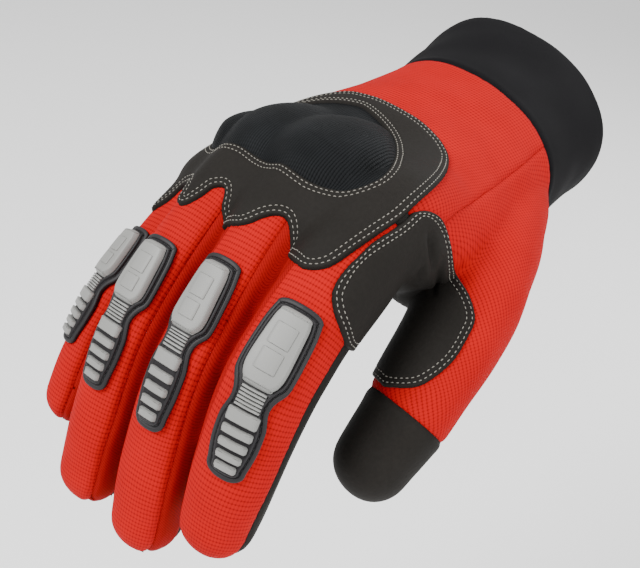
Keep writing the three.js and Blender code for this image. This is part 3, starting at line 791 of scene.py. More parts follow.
def hand_form(sizes):
    """The fused hand with its seam fields, cut along the seams and sorted into pieces. Made
    once and kept for the operators that follow."""
    if FORM:
        return FORM
    points, triangles = fused_hand(sizes.voxel / MM)
    fields = seam_fields(points)
    names = list(fields)
    data = np.stack([fields[name] for name in names], axis=1)
    x, y, z = points.T
    panel = polygon_distance(x, y, smooth_outline(PANEL_OUTLINE))
    weight = np.clip(1 + panel / BRIDGE_REACH, 0, 1) * np.clip((BRIDGE_SIDE - x) / 6, 0, 1)
    points = bridged(points, triangles, weight * np.clip((z - BRIDGE_HEIGHT) / 6, 0, 1))
    FORM.update(plain_points=points, plain_triangles=triangles, plain_data=data, names=names)
    for name in ("rim", "cuff", "cap", "leather", "thumb", "back"):
        points, data, triangles = cut(points, data, triangles, names.index(name))
    points, data, triangles = kept(
        points, data, triangles, data[triangles, names.index("rim")].mean(1) > 0)
    mean = {name: data[triangles, k].mean(1) for k, name in enumerate(names)}
    middle = points[triangles].mean(1)
    bounds = [WEB_SIDE, FINGERS["middle"][3][0], FINGERS["ring"][3][0]]
    strip = np.digitize(-middle[:, 0], [-bound for bound in bounds])
    kind = np.where(strip == 0, 2, 4 + strip)
    for number, name in ((4, "back"), (3, "thumb"), (2, "leather"), (1, "cap"), (0, "cuff")):
        kind = np.where(mean[name] > 0, number, kind)
    edges = edges_of(triangles)
    low = np.full(len(points), 99)
    high = np.full(len(points), -1)
    for k in range(3):
        np.minimum.at(low, triangles[:, k], kind)
        np.maximum.at(high, triangles[:, k], kind)
    seam = distance_from(points, edges, np.flatnonzero(low != high), 8.0)
    rim = np.maximum(data[:, names.index("rim")], 0)
    outward = normals_of(points, triangles)
    seam = relaxed(seam, edges, 2)[:, 0]
    swell, beside, width = SEAM_SWELL
    depth = -sizes.seam_depth / MM * np.exp(-(seam / SEAM_WIDTH) ** 2)
    depth = depth + swell * np.exp(-((seam - beside) / width) ** 2)
    depth = depth - RIM_ROUND[0] * np.clip(1 - rim / RIM_ROUND[1], 0, 1) ** 2
    points = points + outward * (depth + folds(points))[:, None]
    FORM.update(points=points, data=data, triangles=triangles, kind=kind)
    return FORM


def folds(points):
    """Slight unevenness of worn cloth: a sum of a few slanted sine waves, in mm."""
    x, y, z = points.T
    return sum(size * np.sin(a * x + b * y + c * z + d) for a, b, c, d, size in FOLDS)


# Meshes and objects

def mesh_from(name, points, faces, cloth=None):
    """A mesh from arrays in mm, with its cloth coordinates in cm as a UV map."""
    faces = np.asarray(faces, np.int32)
    count, corners = faces.shape
    mesh = bpy.data.meshes.new(name)
    mesh.vertices.add(len(points))
    mesh.vertices.foreach_set("co", (np.asarray(points) * MM).astype(np.float32).ravel())
    mesh.loops.add(count * corners)
    mesh.loops.foreach_set("vertex_index", faces.ravel())
    mesh.polygons.add(count)
    mesh.polygons.foreach_set("loop_start", np.arange(0, count * corners, corners, dtype=np.int32))
    mesh.update(calc_edges=True)
    if cloth is not None:
        layer = mesh.uv_layers.new(name="cloth")
        layer.data.foreach_set("uv", (cloth[faces.ravel()] / 10).astype(np.float32).ravel())
    mesh.shade_smooth()
    return mesh


def new_piece(name, points, faces, material, slot, nodes=(), cloth=None):
    """An object at the origin that rides on the glove and stands for its CAD nodes."""
    mesh = mesh_from(name, points, faces, cloth)
    mesh.materials.append(material)
    piece = bpy.data.objects.new(name, mesh)
    bpy.context.scene.collection.objects.link(piece)
    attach(piece, "root")
    if nodes:
        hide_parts(*nodes)
    return piece


def thicken(piece, thickness, inner=None):
    """Gives a sheet its thickness inwards, with the inner face in another material."""
    if inner is not None:
        piece.data.materials.append(inner)
    wall = piece.modifiers.new("wall", "SOLIDIFY")
    wall.thickness = thickness
    wall.offset = -1
    if inner is not None:
        wall.material_offset = 1
        wall.material_offset_rim = 0
    return piece


# Materials

def add_node(tree, kind, inputs=None, **settings):
    """A node with its settings, and with each named input given a value or linked to a socket."""
    node = tree.nodes.new(kind)
    for key, value in settings.items():
        setattr(node, key, value)
    for key, value in (inputs or {}).items():
        if isinstance(value, bpy.types.NodeSocket):
            tree.links.new(value, node.inputs[key])
        else:
            node.inputs[key].default_value = value
    return node


def math_node(tree, operation, *values):
    """A maths node between sockets or numbers, giving its output."""
    return add_node(tree, "ShaderNodeMath", dict(enumerate(values)), operation=operation).outputs[0]


def mixed(tree, share, first, second):
    """A colour between two others."""
    inputs = {0: share, 6: first, 7: second}
    return add_node(tree, "ShaderNodeMix", inputs, data_type="RGBA").outputs[2]


def noise(tree, place, scale, detail=2.0):
    """A noise value at a place."""
    inputs = {"Vector": place, "Scale": scale, "Detail": detail}
    return add_node(tree, "ShaderNodeTexNoise", inputs).outputs["Fac"]


def new_group(name, inputs, outputs):
    """An empty shader node group with named sockets: the group, its start and its end."""
    group = bpy.data.node_groups.new(name, "ShaderNodeTree")
    for label, value in inputs.items():
        kind = {type(None): "Vector", float: "Float", tuple: "Color"}[type(value)]
        socket = group.interface.new_socket(
            name=label, in_out="INPUT", socket_type=f"NodeSocket{kind}")
        if value is not None:
            socket.default_value = value
    for label, kind in outputs.items():
        group.interface.new_socket(
            name=label, in_out="OUTPUT", socket_type=f"NodeSocket{kind}")
    start, end = group.nodes.new("NodeGroupInput"), group.nodes.new("NodeGroupOutput")
    return group, start.outputs, end.inputs


def rib_group():
    """Ribbed cloth: rows turned by an angle, mixed with cross gaps by the block depth. The groove
    colour is painted shade, darkest where a groove and a gap cross, and a painted highlight lies on
    the raised threads in random patches."""
    group = bpy.data.node_groups.get("ribbed cloth")
    if group:
        return group
    group, start, end = new_group("ribbed cloth", {
        "Place": None, "Rows per cm": 8.1, "Blocks per cm": 11.8, "Angle": 0.0,
        "Block depth": 0.5, "Thread": (0.6, 0.02, 0.02, 1), "Groove shade": (0.2, 0.0, 0.0, 1),
        "Painted highlight": (0.8, 0.05, 0.04, 1)}, {"Color": "Color", "Height": "Float"})
    place = start["Place"]
    turn = add_node(group, "ShaderNodeVectorRotate", {"Vector": place, "Angle": start["Angle"]},
                    rotation_type="Z_AXIS")
    split = add_node(group, "ShaderNodeSeparateXYZ", {0: turn.outputs["Vector"]})
    shift = math_node(group, "MULTIPLY", noise(group, place, 1.6), 0.05)

    def wave(axis, frequency, power):
        along = math_node(group, "ADD", split.outputs[axis], shift)
        turns = math_node(group, "MULTIPLY", along, start[frequency])
        bow = math_node(group, "SINE", math_node(group, "MULTIPLY", turns, np.pi))
        return math_node(group, "POWER", math_node(group, "ABSOLUTE", bow), power)

    row = wave("Y", "Rows per cm", 0.6)
    step = math_node(group, "SUBTRACT", wave("X", "Blocks per cm", 0.7), row)
    height = math_node(group, "MULTIPLY_ADD", step, start["Block depth"], row)
    fuzz = math_node(group, "SUBTRACT", noise(group, place, 60), 0.5)
    height = math_node(group, "MULTIPLY_ADD", fuzz, 0.2, height)
    group.links.new(height, end["Height"])
    # Painted shade: the grooves take the darker groove colour
    ramp = add_node(group, "ShaderNodeMapRange",
                    {"From Min": 0.25, "From Max": 0.85, "Value": height},
                    interpolation_type="SMOOTHSTEP")
    colour = mixed(group, ramp.outputs["Result"], start["Groove shade"], start["Thread"])
    # Painted highlight: the raised threads are lightened towards the highlight colour in random
    # patches
    highlight_patches = math_node(group, "MULTIPLY", noise(group, place, 0.7, 3), 0.8)
    painted_highlight_share = math_node(group, "MULTIPLY", highlight_patches, height)
    group.links.new(mixed(group, painted_highlight_share, colour, start["Painted highlight"]), end["Color"])
    return group


def grain_group():
    """Fine grain: small pores and a slow change of tone, for leather, foam cloth and rubber."""
    group = bpy.data.node_groups.get("fine grain")
    if group:
        return group
    group, start, end = new_group("fine grain", {
        "Place": None, "Grain per cm": 20.0, "Base": (0.03, 0.03, 0.03, 1),
        "Worn": (0.08, 0.08, 0.08, 1), "Wear": 0.5, "Roughness": 0.7},
        {"Color": "Color", "Height": "Float", "Roughness": "Float"})
    place = start["Place"]
    scale = math_node(group, "MULTIPLY", start["Grain per cm"], 100.0)
    pores = add_node(group, "ShaderNodeTexVoronoi", {"Vector": place, "Scale": scale},
                     feature="F1")
    fine = noise(group, place, math_node(group, "MULTIPLY", scale, 0.6), 4)
    height = math_node(group, "MULTIPLY_ADD", pores.outputs["Distance"], 0.5, fine)
    group.links.new(height, end["Height"])
    slow = noise(group, place, 45, 5)
    tone = math_node(group, "MULTIPLY", math_node(group, "MULTIPLY", slow, fine), 2.0)
    tone = math_node(group, "MULTIPLY", tone, start["Wear"])
    group.links.new(mixed(group, tone, start["Base"], start["Worn"]), end["Color"])
    rough = math_node(group, "MULTIPLY_ADD", slow, -0.12, start["Roughness"])
    group.links.new(rough, end["Roughness"])
    return group


def new_material(name, roughness=0.8, specular=0.5):
    """A material with a Principled shader: the material, its tree and the shader."""
    material = bpy.data.materials.new(name)
    material.use_nodes = True
    shader = material.node_tree.nodes["Principled BSDF"]
    shader.inputs["Roughness"].default_value = roughness
    shader.inputs["Specular IOR Level"].default_value = specular
    return material, material.node_tree, shader


def finished(name, place, group, values, roughness, specular, bump, distance):
    """A material whose colour and height, and roughness if it gives one, come from a shared
    group. The place is a node's kind, its output and its settings."""
    found = bpy.data.materials.get(name)
    if found:
        return found
    material, tree, shader = new_material(name, roughness, specular)
    kind, output, settings = place
    source = add_node(tree, kind, **settings).outputs[output]
    node = add_node(tree, "ShaderNodeGroup", {"Place": source, **values}, node_tree=group)
    tree.links.new(node.outputs["Color"], shader.inputs["Base Color"])
    if "Roughness" in node.outputs:
        tree.links.new(node.outputs["Roughness"], shader.inputs["Roughness"])
    inputs = {"Strength": bump, "Distance": distance, "Height": node.outputs["Height"]}
    relief = add_node(tree, "ShaderNodeBump", inputs)
    tree.links.new(relief.outputs["Normal"], shader.inputs["Normal"])
    return material


def ribbed_cloth(name, thread, groove, highlight, angle=0.0, rows=8.1, blocks=11.8, depth=0.42,
                 roughness=0.85, specular=0.08, bump=0.28):
    """Stretch cloth with fine ribs across, from its cloth coordinates. The groove colour is painted
    shade and the highlight colour a painted highlight.
    """
    values = {"Rows per cm": rows, "Blocks per cm": blocks, "Angle": np.radians(angle),
              "Block depth": depth, "Thread": (*thread, 1), "Groove shade": (*groove, 1),
              "Painted highlight": (*highlight, 1)}
    place = ("ShaderNodeUVMap", "UV", {"uv_map": "cloth"})
    return finished(name, place, rib_group(), values, roughness, specular, bump, RIB_RELIEF)


def grained(name, base, worn, grain=20.0, wear=0.5, roughness=0.7, bump=0.35, specular=0.4):
    """Leather, foam cloth or rubber with a fine grain, from the object's coordinates."""
    values = {"Grain per cm": grain, "Base": (*base, 1), "Worn": (*worn, 1), "Wear": wear,
              "Roughness": roughness}
    place = ("ShaderNodeTexCoord", "Object", {})
    return finished(name, place, grain_group(), values, 0.8, specular, bump, GRAIN_RELIEF)


def shade(colour, scale, lift=0.0):
    """A colour made darker or lighter."""
    return [min(part * scale + lift, 1) for part in colour]


def dome_cloth(colours):
    """Dark woven cloth with fine threads along the hand. The light they catch is a painted
    highlight nine times the base colour, and their grooves are painted shade.
    """
    base = colours.dome_cloth
    return ribbed_cloth("dome_cloth", base, shade(base, 0.2), shade(base, 9), angle=90, rows=12.0,
                        blocks=14.0, depth=0.25, roughness=0.55, specular=0.04, bump=0.7)


def red_cloth(colours):
    """The red stretch cloth of the hand's back and the fingers."""
    red = colours.red_cloth
    # Darker copy of the red as painted shade in the grooves, lighter copy as painted highlight on
    # the threads
    return ribbed_cloth("red_cloth", red, shade(red, 0.45), shade(red, 1.4, 0.004))


def thumb_cloth(colours):
    """The same cloth on the thumb, cut on the slant."""
    red = colours.red_cloth
    # Darker copy of the red as painted shade in the grooves, lighter copy as painted highlight on
    # the threads
    return ribbed_cloth("thumb_cloth", red, shade(red, 0.45), shade(red, 1.4, 0.004), angle=-39,
                        rows=9.3, blocks=12.5, depth=0.4)


def dark_red_cloth(colours):
    """The strips between the fingers, with slanting ribs. Their darker red is partly the cloth's
    own colour and partly painted shade between the fingers; the grooves take painted shade and the
    threads a painted highlight.
    """
    red = colours.dark_red_cloth
    return ribbed_cloth("dark_red_cloth", red, shade(red, 0.6), shade(red, 1.3, 0.003), angle=-45,
                        rows=18.0, depth=0.2, bump=0.1)


def black_leather(colours):
    """Matt synthetic leather."""
    black = colours.leather
    return grained("matt_leather", black, shade(black, 1.9, 0.002), grain=16, wear=0.5,
                   roughness=0.8, bump=0.35, specular=0.1)


def lining_cloth():
    """The plain dark inside of the glove."""
    return grained("lining_cloth", (0.02, 0.02, 0.022), (0.05, 0.05, 0.052), grain=14, wear=0.4,
                   roughness=0.9, bump=0.4, specular=0.2)


# Guards

def pad(half, profile, middle=5):
    """A raised pad as one closed grid. Rows run along its half outline (s, w), and columns go
    round it: under it from left to right, up the right profile, over the top and down the left.
    A column of the profile is the outline moved in along and across, at its height."""
    half = np.asarray(half, float)
    step = np.gradient(half, axis=0)
    length = np.maximum(np.hypot(step[:, 0], step[:, 1]), 1e-9)
    inward = np.stack([step[:, 1] / length, -step[:, 0] / length], axis=1)

    def column(row, share):
        along, across, height = row
        s = half[:, 0] + along * inward[:, 0]
        w = np.maximum(half[:, 1] + across * inward[:, 1], 0)
        w[0] = w[-1] = 0
        return np.stack([s, w * share, np.full(len(s), height)], axis=1)

    between = np.linspace(-1, 1, middle + 2)[1:-1]
    columns = [column(profile[0], share) for share in between]
    columns += [column(row, 1) for row in profile]
    columns += [column(profile[-1], share) for share in -between]
    columns += [column(row, -1) for row in profile[::-1]]
    grid = np.stack(columns, axis=1)
    return grid.reshape(-1, 3), grid_faces(len(half), len(columns), True)


def closed_half(rows, ends, count, square=2.0):
    """Half outline through (s, w) rows, with round ends that reach the middle line at ends."""
    line = smooth_outline(rows, closed=False, steps=8)
    s = np.linspace(line[0, 0], line[-1, 0], count)
    w = np.interp(s, line[:, 0], line[:, 1])
    bow = np.linspace(0, np.pi / 2, 9)[:-1]
    cos, sin = np.cos(bow) ** (2 / square), np.sin(bow) ** (2 / square)
    first = np.stack([s[0] - (s[0] - ends[0]) * cos, w[0] * sin], axis=1)
    last = np.stack([s[-1] + (ends[1] - s[-1]) * cos, w[-1] * sin], axis=1)
    return np.concatenate([first, np.stack([s, w], axis=1), last[::-1]])


def rectangle_half(middle, half_length, half_width, corner=0.35):
    """Half outline of a rectangle with small round corners."""
    bow = np.linspace(0, np.pi / 2, 4)
    s = middle - half_length + corner * (1 - np.cos(bow))
    w = half_width - corner * (1 - np.sin(bow))
    near = np.stack([s, w], axis=1)
    first = np.stack([np.full(3, s[0]), np.linspace(0, w[0], 4)[:3]], axis=1)
    far = near[::-1].copy()
    far[:, 0] = 2 * middle - far[:, 0]
    last = first[::-1].copy()
    last[:, 0] = 2 * middle - last[:, 0]
    bridge = np.linspace(near[-1], far[0], 5)[1:-1]
    return np.concatenate([first, near, bridge, far, last])


def on_finger(name, points):
    """Pad coordinates (along in mm, across in mm, height) as points on the finger's back."""
    start, length, first, last, _ = GUARDS[name]
    place, across, height = points.T
    centre, _, side, out, wide, high = frames_at(FINGERS[name], start + place)
    middle = np.radians(first + (last - first) * place / length)
    angle = middle + across / high
    return (centre + side * ((wide + height) * rounded(np.sin(angle)))[:, None]
            + out * ((high + height) * rounded(np.cos(angle)))[:, None])


def frames_at(rows, positions):
    """Frames at given distances, mixed from a fine set of frames."""
    length = table_length(rows)
    fine = np.linspace(0, length, 241)
    parts = frames(sample_rows(rows, positions=fine))
    turned = [unit(values_at(positions, fine, part)) for part in parts[1:4]]
    sizes = [np.interp(positions, fine, part) for part in parts[4:]]
    return values_at(positions, fine, parts[0]), *turned, *sizes


def guard_shapes(name, lift):
    """Base, head and bars of one guard as (points, faces) on the finger, and the line of its
    stitches. Heights above the base are scaled by the lift."""
    _, length, _, _, scale = GUARDS[name]

    def lay(half, profile, middle=5):
        raised = [(s, w, 1 + (h - 1) * lift if h > 1 else h) for s, w, h in profile]
        points, faces = pad(half, raised, middle)
        return on_finger(name, points), faces

    def outline(rows, ends, count, square):
        rows = [[share * length, width * scale] for share, width in rows]
        return closed_half(rows, [share * length for share in ends], count, square)

    base = outline(GUARD_BASE, [0, 1], 90, 2.5)
    head = [lay(outline(GUARD_HEAD, HEAD_ENDS, 40, 3.5), HEAD_SECTION, 7)]
    for begin, finish, half_width in HEAD_WINDOWS:
        middle, half = (begin + finish) / 2 * length, (finish - begin) / 2 * length
        head.append(lay(rectangle_half(middle, half, half_width * scale, 0.3), WINDOW_SECTION))
    for share in NECK_RIBS:
        rib = rectangle_half(share * length, NECK_RIB[0], NECK_RIB[1] * scale, 0.12)
        head.append(lay(rib, RIB_SECTION))
    bars = []
    for share, half_length, half_width in GUARD_BARS:
        bar = rectangle_half(share * length, half_length, half_width * scale, 0.5)
        bars.append(lay(bar, BAR_SECTION))
    step = np.gradient(base, axis=0)
    inward = unit(np.stack([step[:, 1], -step[:, 0]], axis=1))
    row = base + GUARD_ROW[0] * inward
    row = row[row[:, 1] > 0]
    row = np.concatenate([row, row[::-1] * [1, -1], row[:1]])
    row = np.concatenate([row, np.full((len(row), 1), GUARD_ROW[1])], axis=1)
    above = on_finger(name, row + [0, 0, 1])
    row = on_finger(name, row)
    return lay(base, BASE_SECTION, 7), joined(head), joined(bars), (row, unit(above - row))


# Stitching

def stitches_on(chains, pitch, length, radius, lift):
    """Threads laid along lines: at each step a short tube whose middle arches over the surface
    and whose ends dive into it. Radius r * sqrt(1 - (2t - 1)^6), height lift * (1 - (2t - 1)^2)."""
    starts, ends, facing = [], [], []
    for points, normals in chains:
        smooth = points.copy()
        for _ in range(3):
            smooth[1:-1] = (smooth[:-2] + 2 * smooth[1:-1] + smooth[2:]) / 4
        steps = np.linalg.norm(np.diff(smooth, axis=0), axis=1)
        along = np.concatenate([[0], np.cumsum(steps)])
        count = int(along[-1] / pitch)
        if count < 3:
            continue
        begin = np.arange(count) * (along[-1] / count) + (along[-1] / count - length) / 2
        starts.append(values_at(begin, along, smooth))
        ends.append(values_at(begin + length, along, smooth))
        facing.append(unit(values_at(begin + length / 2, along, normals)))
    if not starts:
        return np.zeros((0, 3)), np.zeros((0, 4), int)
    a, b, n = np.concatenate(starts), np.concatenate(ends), np.concatenate(facing)
    t = np.linspace(0, 1, 6)
    turn = np.linspace(0, 2 * np.pi, 6, endpoint=False)
    forward = unit(b - a)
    across = unit(np.cross(n, forward))
    up = np.cross(forward, across)
    arch = lift * (1 - (2 * t - 1) ** 2) - radius * 0.5
    size = radius * np.sqrt(np.maximum(1 - (2 * t - 1) ** 6, 0.02))
    centre = a[:, None] + (b - a)[:, None] * t[:, None] + up[:, None] * arch[:, None]
    ring = np.cos(turn)[:, None] * across[:, None, None] + np.sin(turn)[:, None] * up[:, None, None]
    points = centre[:, :, None] + size[:, None, None] * ring
    faces = grid_faces(len(t), len(turn), True)
    every = np.arange(len(a))[:, None, None] * (len(t) * len(turn)) + faces
    return points.reshape(-1, 3), every.reshape(-1, 4)


# Patches

def rounded_edge(away, top, sink):
    """Height that rises as a quarter circle from below the cloth at an edge to the top."""
    rise = np.clip(away / PATCH_ROUND, 0, 1)
    return -sink + (top + sink) * np.sqrt(1 - (1 - rise) ** 2)


def grooved(height, away):
    """A height with a shallow groove under each row of stitches."""
    for place in STITCH_ROWS:
        height = height - GROOVE_DEPTH * np.exp(-((away - place) / GROOVE_WIDTH) ** 2)
    return height


def even_distance(points, triangles, field):
    """A field divided by its slope, which is about the distance along the surface."""
    slope = relaxed(slope_of(points, triangles, field), edges_of(triangles), 4)[:, 0]
    return field / np.clip(slope, 0.2, 2.0)


def raised_patch(points, triangles, data, inside, top):
    """A patch laid on the surface: the part where a field is above zero, lifted along the
    normals by a height that rises from its edge. Gives the patch with its normals, the
    triangles to keep, the distance from its edge and the height."""
    data = np.concatenate([data, inside[:, None]], axis=1)
    column = data.shape[1] - 1
    points, data, triangles = kept(points, data, triangles, (data[triangles, column] > -3).all(1))
    points, data, triangles = finer(points, data, triangles)
    free = 1.0 - np.isin(np.arange(len(points)), border_points(triangles))
    points = relaxed(points, edges_of(triangles), 3, free=free)
    points, data, triangles = cut(points, data, triangles, column)
    away = even_distance(points, triangles, data[:, column])
    normals = unit(relaxed(normals_of(points, triangles), edges_of(triangles), 2))
    keep = data[triangles, column].mean(1) > 0
    return points, normals, triangles, data, keep, away, rounded_edge(away, top, PATCH_SINK)


# Properties

class GloveSizes(bpy.types.PropertyGroup):
    """Sizes of the glove's sewn and moulded detail."""

    voxel: bpy.props.FloatProperty(
        name="Cloth detail", description="Spacing of the points on cloth and leather",
        default=0.0008, min=0.0004, subtype="DISTANCE", unit="LENGTH")
    wall: bpy.props.FloatProperty(
        name="Wall", description="Thickness of cloth with its lining",
        default=0.0014, min=0.0005, subtype="DISTANCE", unit="LENGTH")
    seam_depth: bpy.props.FloatProperty(
        name="Seam depth", description="How far a seam sinks in",
        default=0.0005, min=0, subtype="DISTANCE", unit="LENGTH")
    patch_height: bpy.props.FloatProperty(
        name="Patch height", description="How far a leather patch stands above the cloth",
        default=0.0012, min=0.0002, subtype="DISTANCE", unit="LENGTH")
    guard_lift: bpy.props.FloatProperty(
        name="Guard lift", description="Height of the guards' heads and bars, as a scale",
        default=1.0, min=0.3, max=2)
    stitch_pitch: bpy.props.FloatProperty(
        name="Stitch pitch", description="Distance from one stitch to the next",
        default=0.0015, min=0.0005, subtype="DISTANCE", unit="LENGTH")


def colour(label, text, value):
    """A colour property."""
    return bpy.props.FloatVectorProperty(
        name=label, description=text, default=value, size=3, min=0, max=1, subtype="COLOR")


class GloveColours(bpy.types.PropertyGroup):
    """Colours of the glove's materials."""

    red_cloth: colour("Red cloth", "Backs of the hand, fingers and thumb", (0.35, 0.0011, 0.0018))
    # The dark red is partly the strips' own colour and partly painted shade between the fingers
    dark_red_cloth: colour("Dark red cloth", "Strips between the fingers", (0.24, 0.0015, 0.0012))
    leather: colour("Leather", "Palm, patches and knuckle panel", (0.009, 0.0078, 0.0066))
    dome_cloth: colour("Dome cloth", "Cloth over the knuckle padding", (0.0024, 0.0026, 0.0028))
    foam_cloth: colour("Cuff cloth", "Foam cloth of the cuff", (0.0022, 0.002, 0.0026))
    dark_rubber: colour("Dark rubber", "Bases of the guards", (0.009, 0.008, 0.009))
    pale_rubber: colour("Pale rubber", "Heads and bars of the guards", (0.2, 0.2, 0.19))
    thread: colour("Thread", "Double rows of stitches", (0.17, 0.16, 0.14))


# Operators

class GLOVE_OT_cloth(bpy.types.Operator):
    """Build the cuff, the red backs, the leather palm and tips, and the strips between fingers"""

    bl_idname = "glove.cloth"
    bl_label = "Cloth and leather"

    def execute(self, context):
        sizes, colours = context.scene.glove_sizes, context.scene.glove_colours
        form = hand_form(sizes)
        foam = colours.foam_cloth
        cuff = grained("foam_cloth", foam, shade(foam, 2, 0.001), grain=30, wear=0.4,
                       roughness=0.9, bump=0.25, specular=0.1)
        red, dark, leather = red_cloth(colours), dark_red_cloth(colours), black_leather(colours)
        slanted = thumb_cloth(colours)
        backs = ["back_panel"] + [f"finger_back_{name}" for name in FINGER_NAMES]
        fronts = ["palm_panel", "thumb_front"] + [f"finger_front_{name}" for name in FINGER_NAMES]
        plan = [
            ("cuff_cloth", 0, cuff, "neoprene", ["cuff"], "back"),
            ("thumb_tip_leather", 1, leather, "black_leather", ["thumb_tip"], "thumb"),
            ("palm_leather", 2, leather, "black_leather", fronts, "back"),
            ("thumb_cloth", 3, slanted, "red_fabric", ["thumb_panel"], "thumb"),
            ("back_cloth", 4, red, "red_fabric", backs, "back"),
        ]
        for i, pair in enumerate(zip(FINGER_NAMES, FINGER_NAMES[1:])):
            node = "fourchette_" + "_".join(pair)
            label = "strip_" + "_".join(pair)
            plan.append((label, 5 + i, dark, "dark_red_fabric", [node], "back"))
        names = form["names"]
        for label, kind, material, slot, nodes, chart in plan:
            points, data, triangles = kept(
                form["points"], form["data"], form["triangles"], form["kind"] == kind)
            cloth = data[:, [names.index(f"{chart}_u"), names.index(f"{chart}_v")]]
            piece = new_piece(label, points, triangles, material, slot, nodes, cloth)
            thicken(piece, sizes.wall, lining_cloth())
        return {"FINISHED"}


class GLOVE_OT_patches(bpy.types.Operator):
    """Build the knuckle panel, the dome in its window, the crotch patch and their stitches"""

    bl_idname = "glove.patches"
    bl_label = "Patches and padding"

    def execute(self, context):
        sizes, colours = context.scene.glove_sizes, context.scene.glove_colours
        form = hand_form(sizes)
        points, triangles, data = form["plain_points"], form["plain_triangles"], form["plain_data"]
        points = points + normals_of(points, triangles) * folds(points)[:, None]
        leather = black_leather(colours)
        thread = grained("pale_thread", colours.thread, shade(colours.thread, 1.5),
                         grain=60, wear=0.5, roughness=0.8, bump=0.5, specular=0.3)
        top = sizes.patch_height / MM
        panel = polygon_distance(points[:, 0], points[:, 1], smooth_outline(PANEL_OUTLINE))
        window = polygon_distance(points[:, 0], points[:, 1], smooth_outline(DOME_OUTLINE))
        lower = np.minimum(panel, points[:, 2] - LOW_EDGE)
        self.knuckles(points, triangles, data, lower, window, top, leather, thread, sizes)
        self.dome(points, triangles, data, window, colours)
        self.crotch(points, triangles, data, panel, top, leather, thread, sizes)
        return {"FINISHED"}

    def knuckles(self, points, triangles, data, panel, window, top, leather, thread, sizes):
        """The lobed panel round the window, with double stitches at both edges."""
        p, n, t, d, keep, away, height = raised_patch(
            points, triangles, np.concatenate([data, window[:, None]], axis=1), panel, top)
        column = d.shape[1] - 2
        inner = -even_distance(p, t, d[:, column])
        height = grooved(grooved(height, away), inner)
        height = np.minimum(height, rounded_edge(inner, top, WINDOW_SINK))
        p = p + n * height[:, None]
        chains = []
        seen = keep & (d[t, column].mean(1) < 0) & (n[t, 2].min(1) > STITCH_SLOPE)
        for field in (away, inner):
            for place in STITCH_ROWS:
                chains += level_lines(p, n, t[seen], field, place)
        shape = stitches_on(chains, sizes.stitch_pitch / MM, *STITCH)
        new_piece("knuckle_stitching", *shape, thread, "black_leather")
        extra = np.concatenate([d, height[:, None]], axis=1)
        p, extra, t2 = cut(p, extra, t, column)
        keep = (extra[t2, d.shape[1] - 1].mean(1) > 0) & (extra[t2, column].mean(1) < 0)
        p, extra, t2 = kept(p, extra, t2, keep)
        new_piece("knuckle_leather", p, t2, leather, "black_leather", ["knuckle_panel"])

    def dome(self, points, triangles, data, window, colours):
        """The padded humps: each an ellipsoid, joined by the larger of their heights, with the
        cloth drawn smoothly over them and down to the window's edge."""
        edge, rise, reach = DOME_BASE
        field = window + DOME_TUCK
        p, n, t, d, keep, away, _ = raised_patch(points, triangles, data, field, rise)
        base = p + n * (edge + rise * np.clip(away / reach, 0, 1))[:, None]
        top = np.zeros(len(p))
        for x, y, z, a, b, c in HUMPS:
            part = 1 - ((p[:, 0] - x) / a) ** 2 - ((p[:, 1] - y) / b) ** 2
            round_top = np.sqrt(np.maximum(part, HUMP_FOOT))
            slope = (part - HUMP_FOOT) / (2 * np.sqrt(HUMP_FOOT))
            rise = z + c * (round_top + np.minimum(slope, 0)) - base[:, 2]
            top = HUMP_BLEND * np.logaddexp(top / HUMP_BLEND, rise / HUMP_BLEND)
        lift = np.maximum(top - HUMP_BLEND * np.log(2), 0) * np.clip(away / 3, 0, 1) ** 0.5
        p = base + np.array([0, 0, 1.0]) * lift[:, None]
        p, d, t = kept(p, d, t, keep)
        free = 1 - np.isin(np.arange(len(p)), border_points(t))
        p = relaxed(p, edges_of(t), 12, free=free)
        cloth = p[:, :2]
        piece = new_piece("knuckle_padding", p, t, dome_cloth(colours), "dark_mesh",
                          ["knuckle_dome"], cloth)

    def crotch(self, points, triangles, data, panel, top, leather, thread, sizes):
        """The patch between thumb and index finger, to the seams of the palm."""
        edge = smooth_outline(PATCH_EDGE, closed=False)
        u, v = seen_from(edge, VIEWPOINT, VIEW_TURN)
        x, y = seen_from(points, VIEWPOINT, VIEW_TURN)
        outline = polygon_distance(x, y, np.stack([u, v], axis=1))
        toward = unit(np.asarray(VIEWPOINT) - points)
        normals = unit(relaxed(normals_of(points, triangles), edges_of(triangles), 6))
        facing = ((normals * toward).sum(1) - PATCH_TURN) * 10
        outline = np.minimum(outline, np.maximum(-panel - PATCH_GAP, -points[:, 2]))
        inside = np.minimum(np.minimum(outline, facing), points[:, 0] - PATCH_SIDE)
        extra = np.concatenate([data, outline[:, None], x[:, None], y[:, None]], axis=1)
        p, n, t, d, keep, away, height = raised_patch(points, triangles, extra, inside, top)
        height = grooved(height, away)
        outline, x, y = d[:, -4], d[:, -3], d[:, -2]
        for ax, ay, bx, by, width, depth in CREASES:
            ex, ey = bx - ax, by - ay
            share = np.clip(((x - ax) * ex + (y - ay) * ey) / (ex * ex + ey * ey), 0, 1)
            beside = np.hypot(x - ax - share * ex, y - ay - share * ey) / width
            strength = depth * np.sin(np.pi * (0.1 + 0.8 * share))
            height = height + strength * (0.5 * np.exp(-(beside / 3) ** 2) - np.exp(-beside ** 2))
        height = np.maximum(height, np.minimum(CREASE_FLOOR, away - PATCH_SINK))
        p = p + n * height[:, None]
        row = even_distance(p, t, outline)
        seen = keep & (np.abs(away - row)[t].max(1) < 0.6)
        chains = []
        for place in STITCH_ROWS:
            chains += level_lines(p, n, t[seen], row, place)
        shape = stitches_on(chains, sizes.stitch_pitch / MM, *STITCH)
        new_piece("crotch_stitching", *shape, thread, "black_leather")
        p, d, t = kept(p, d, t, keep)
        new_piece("crotch_leather", p, t, leather, "black_leather", ["crotch_patch"])


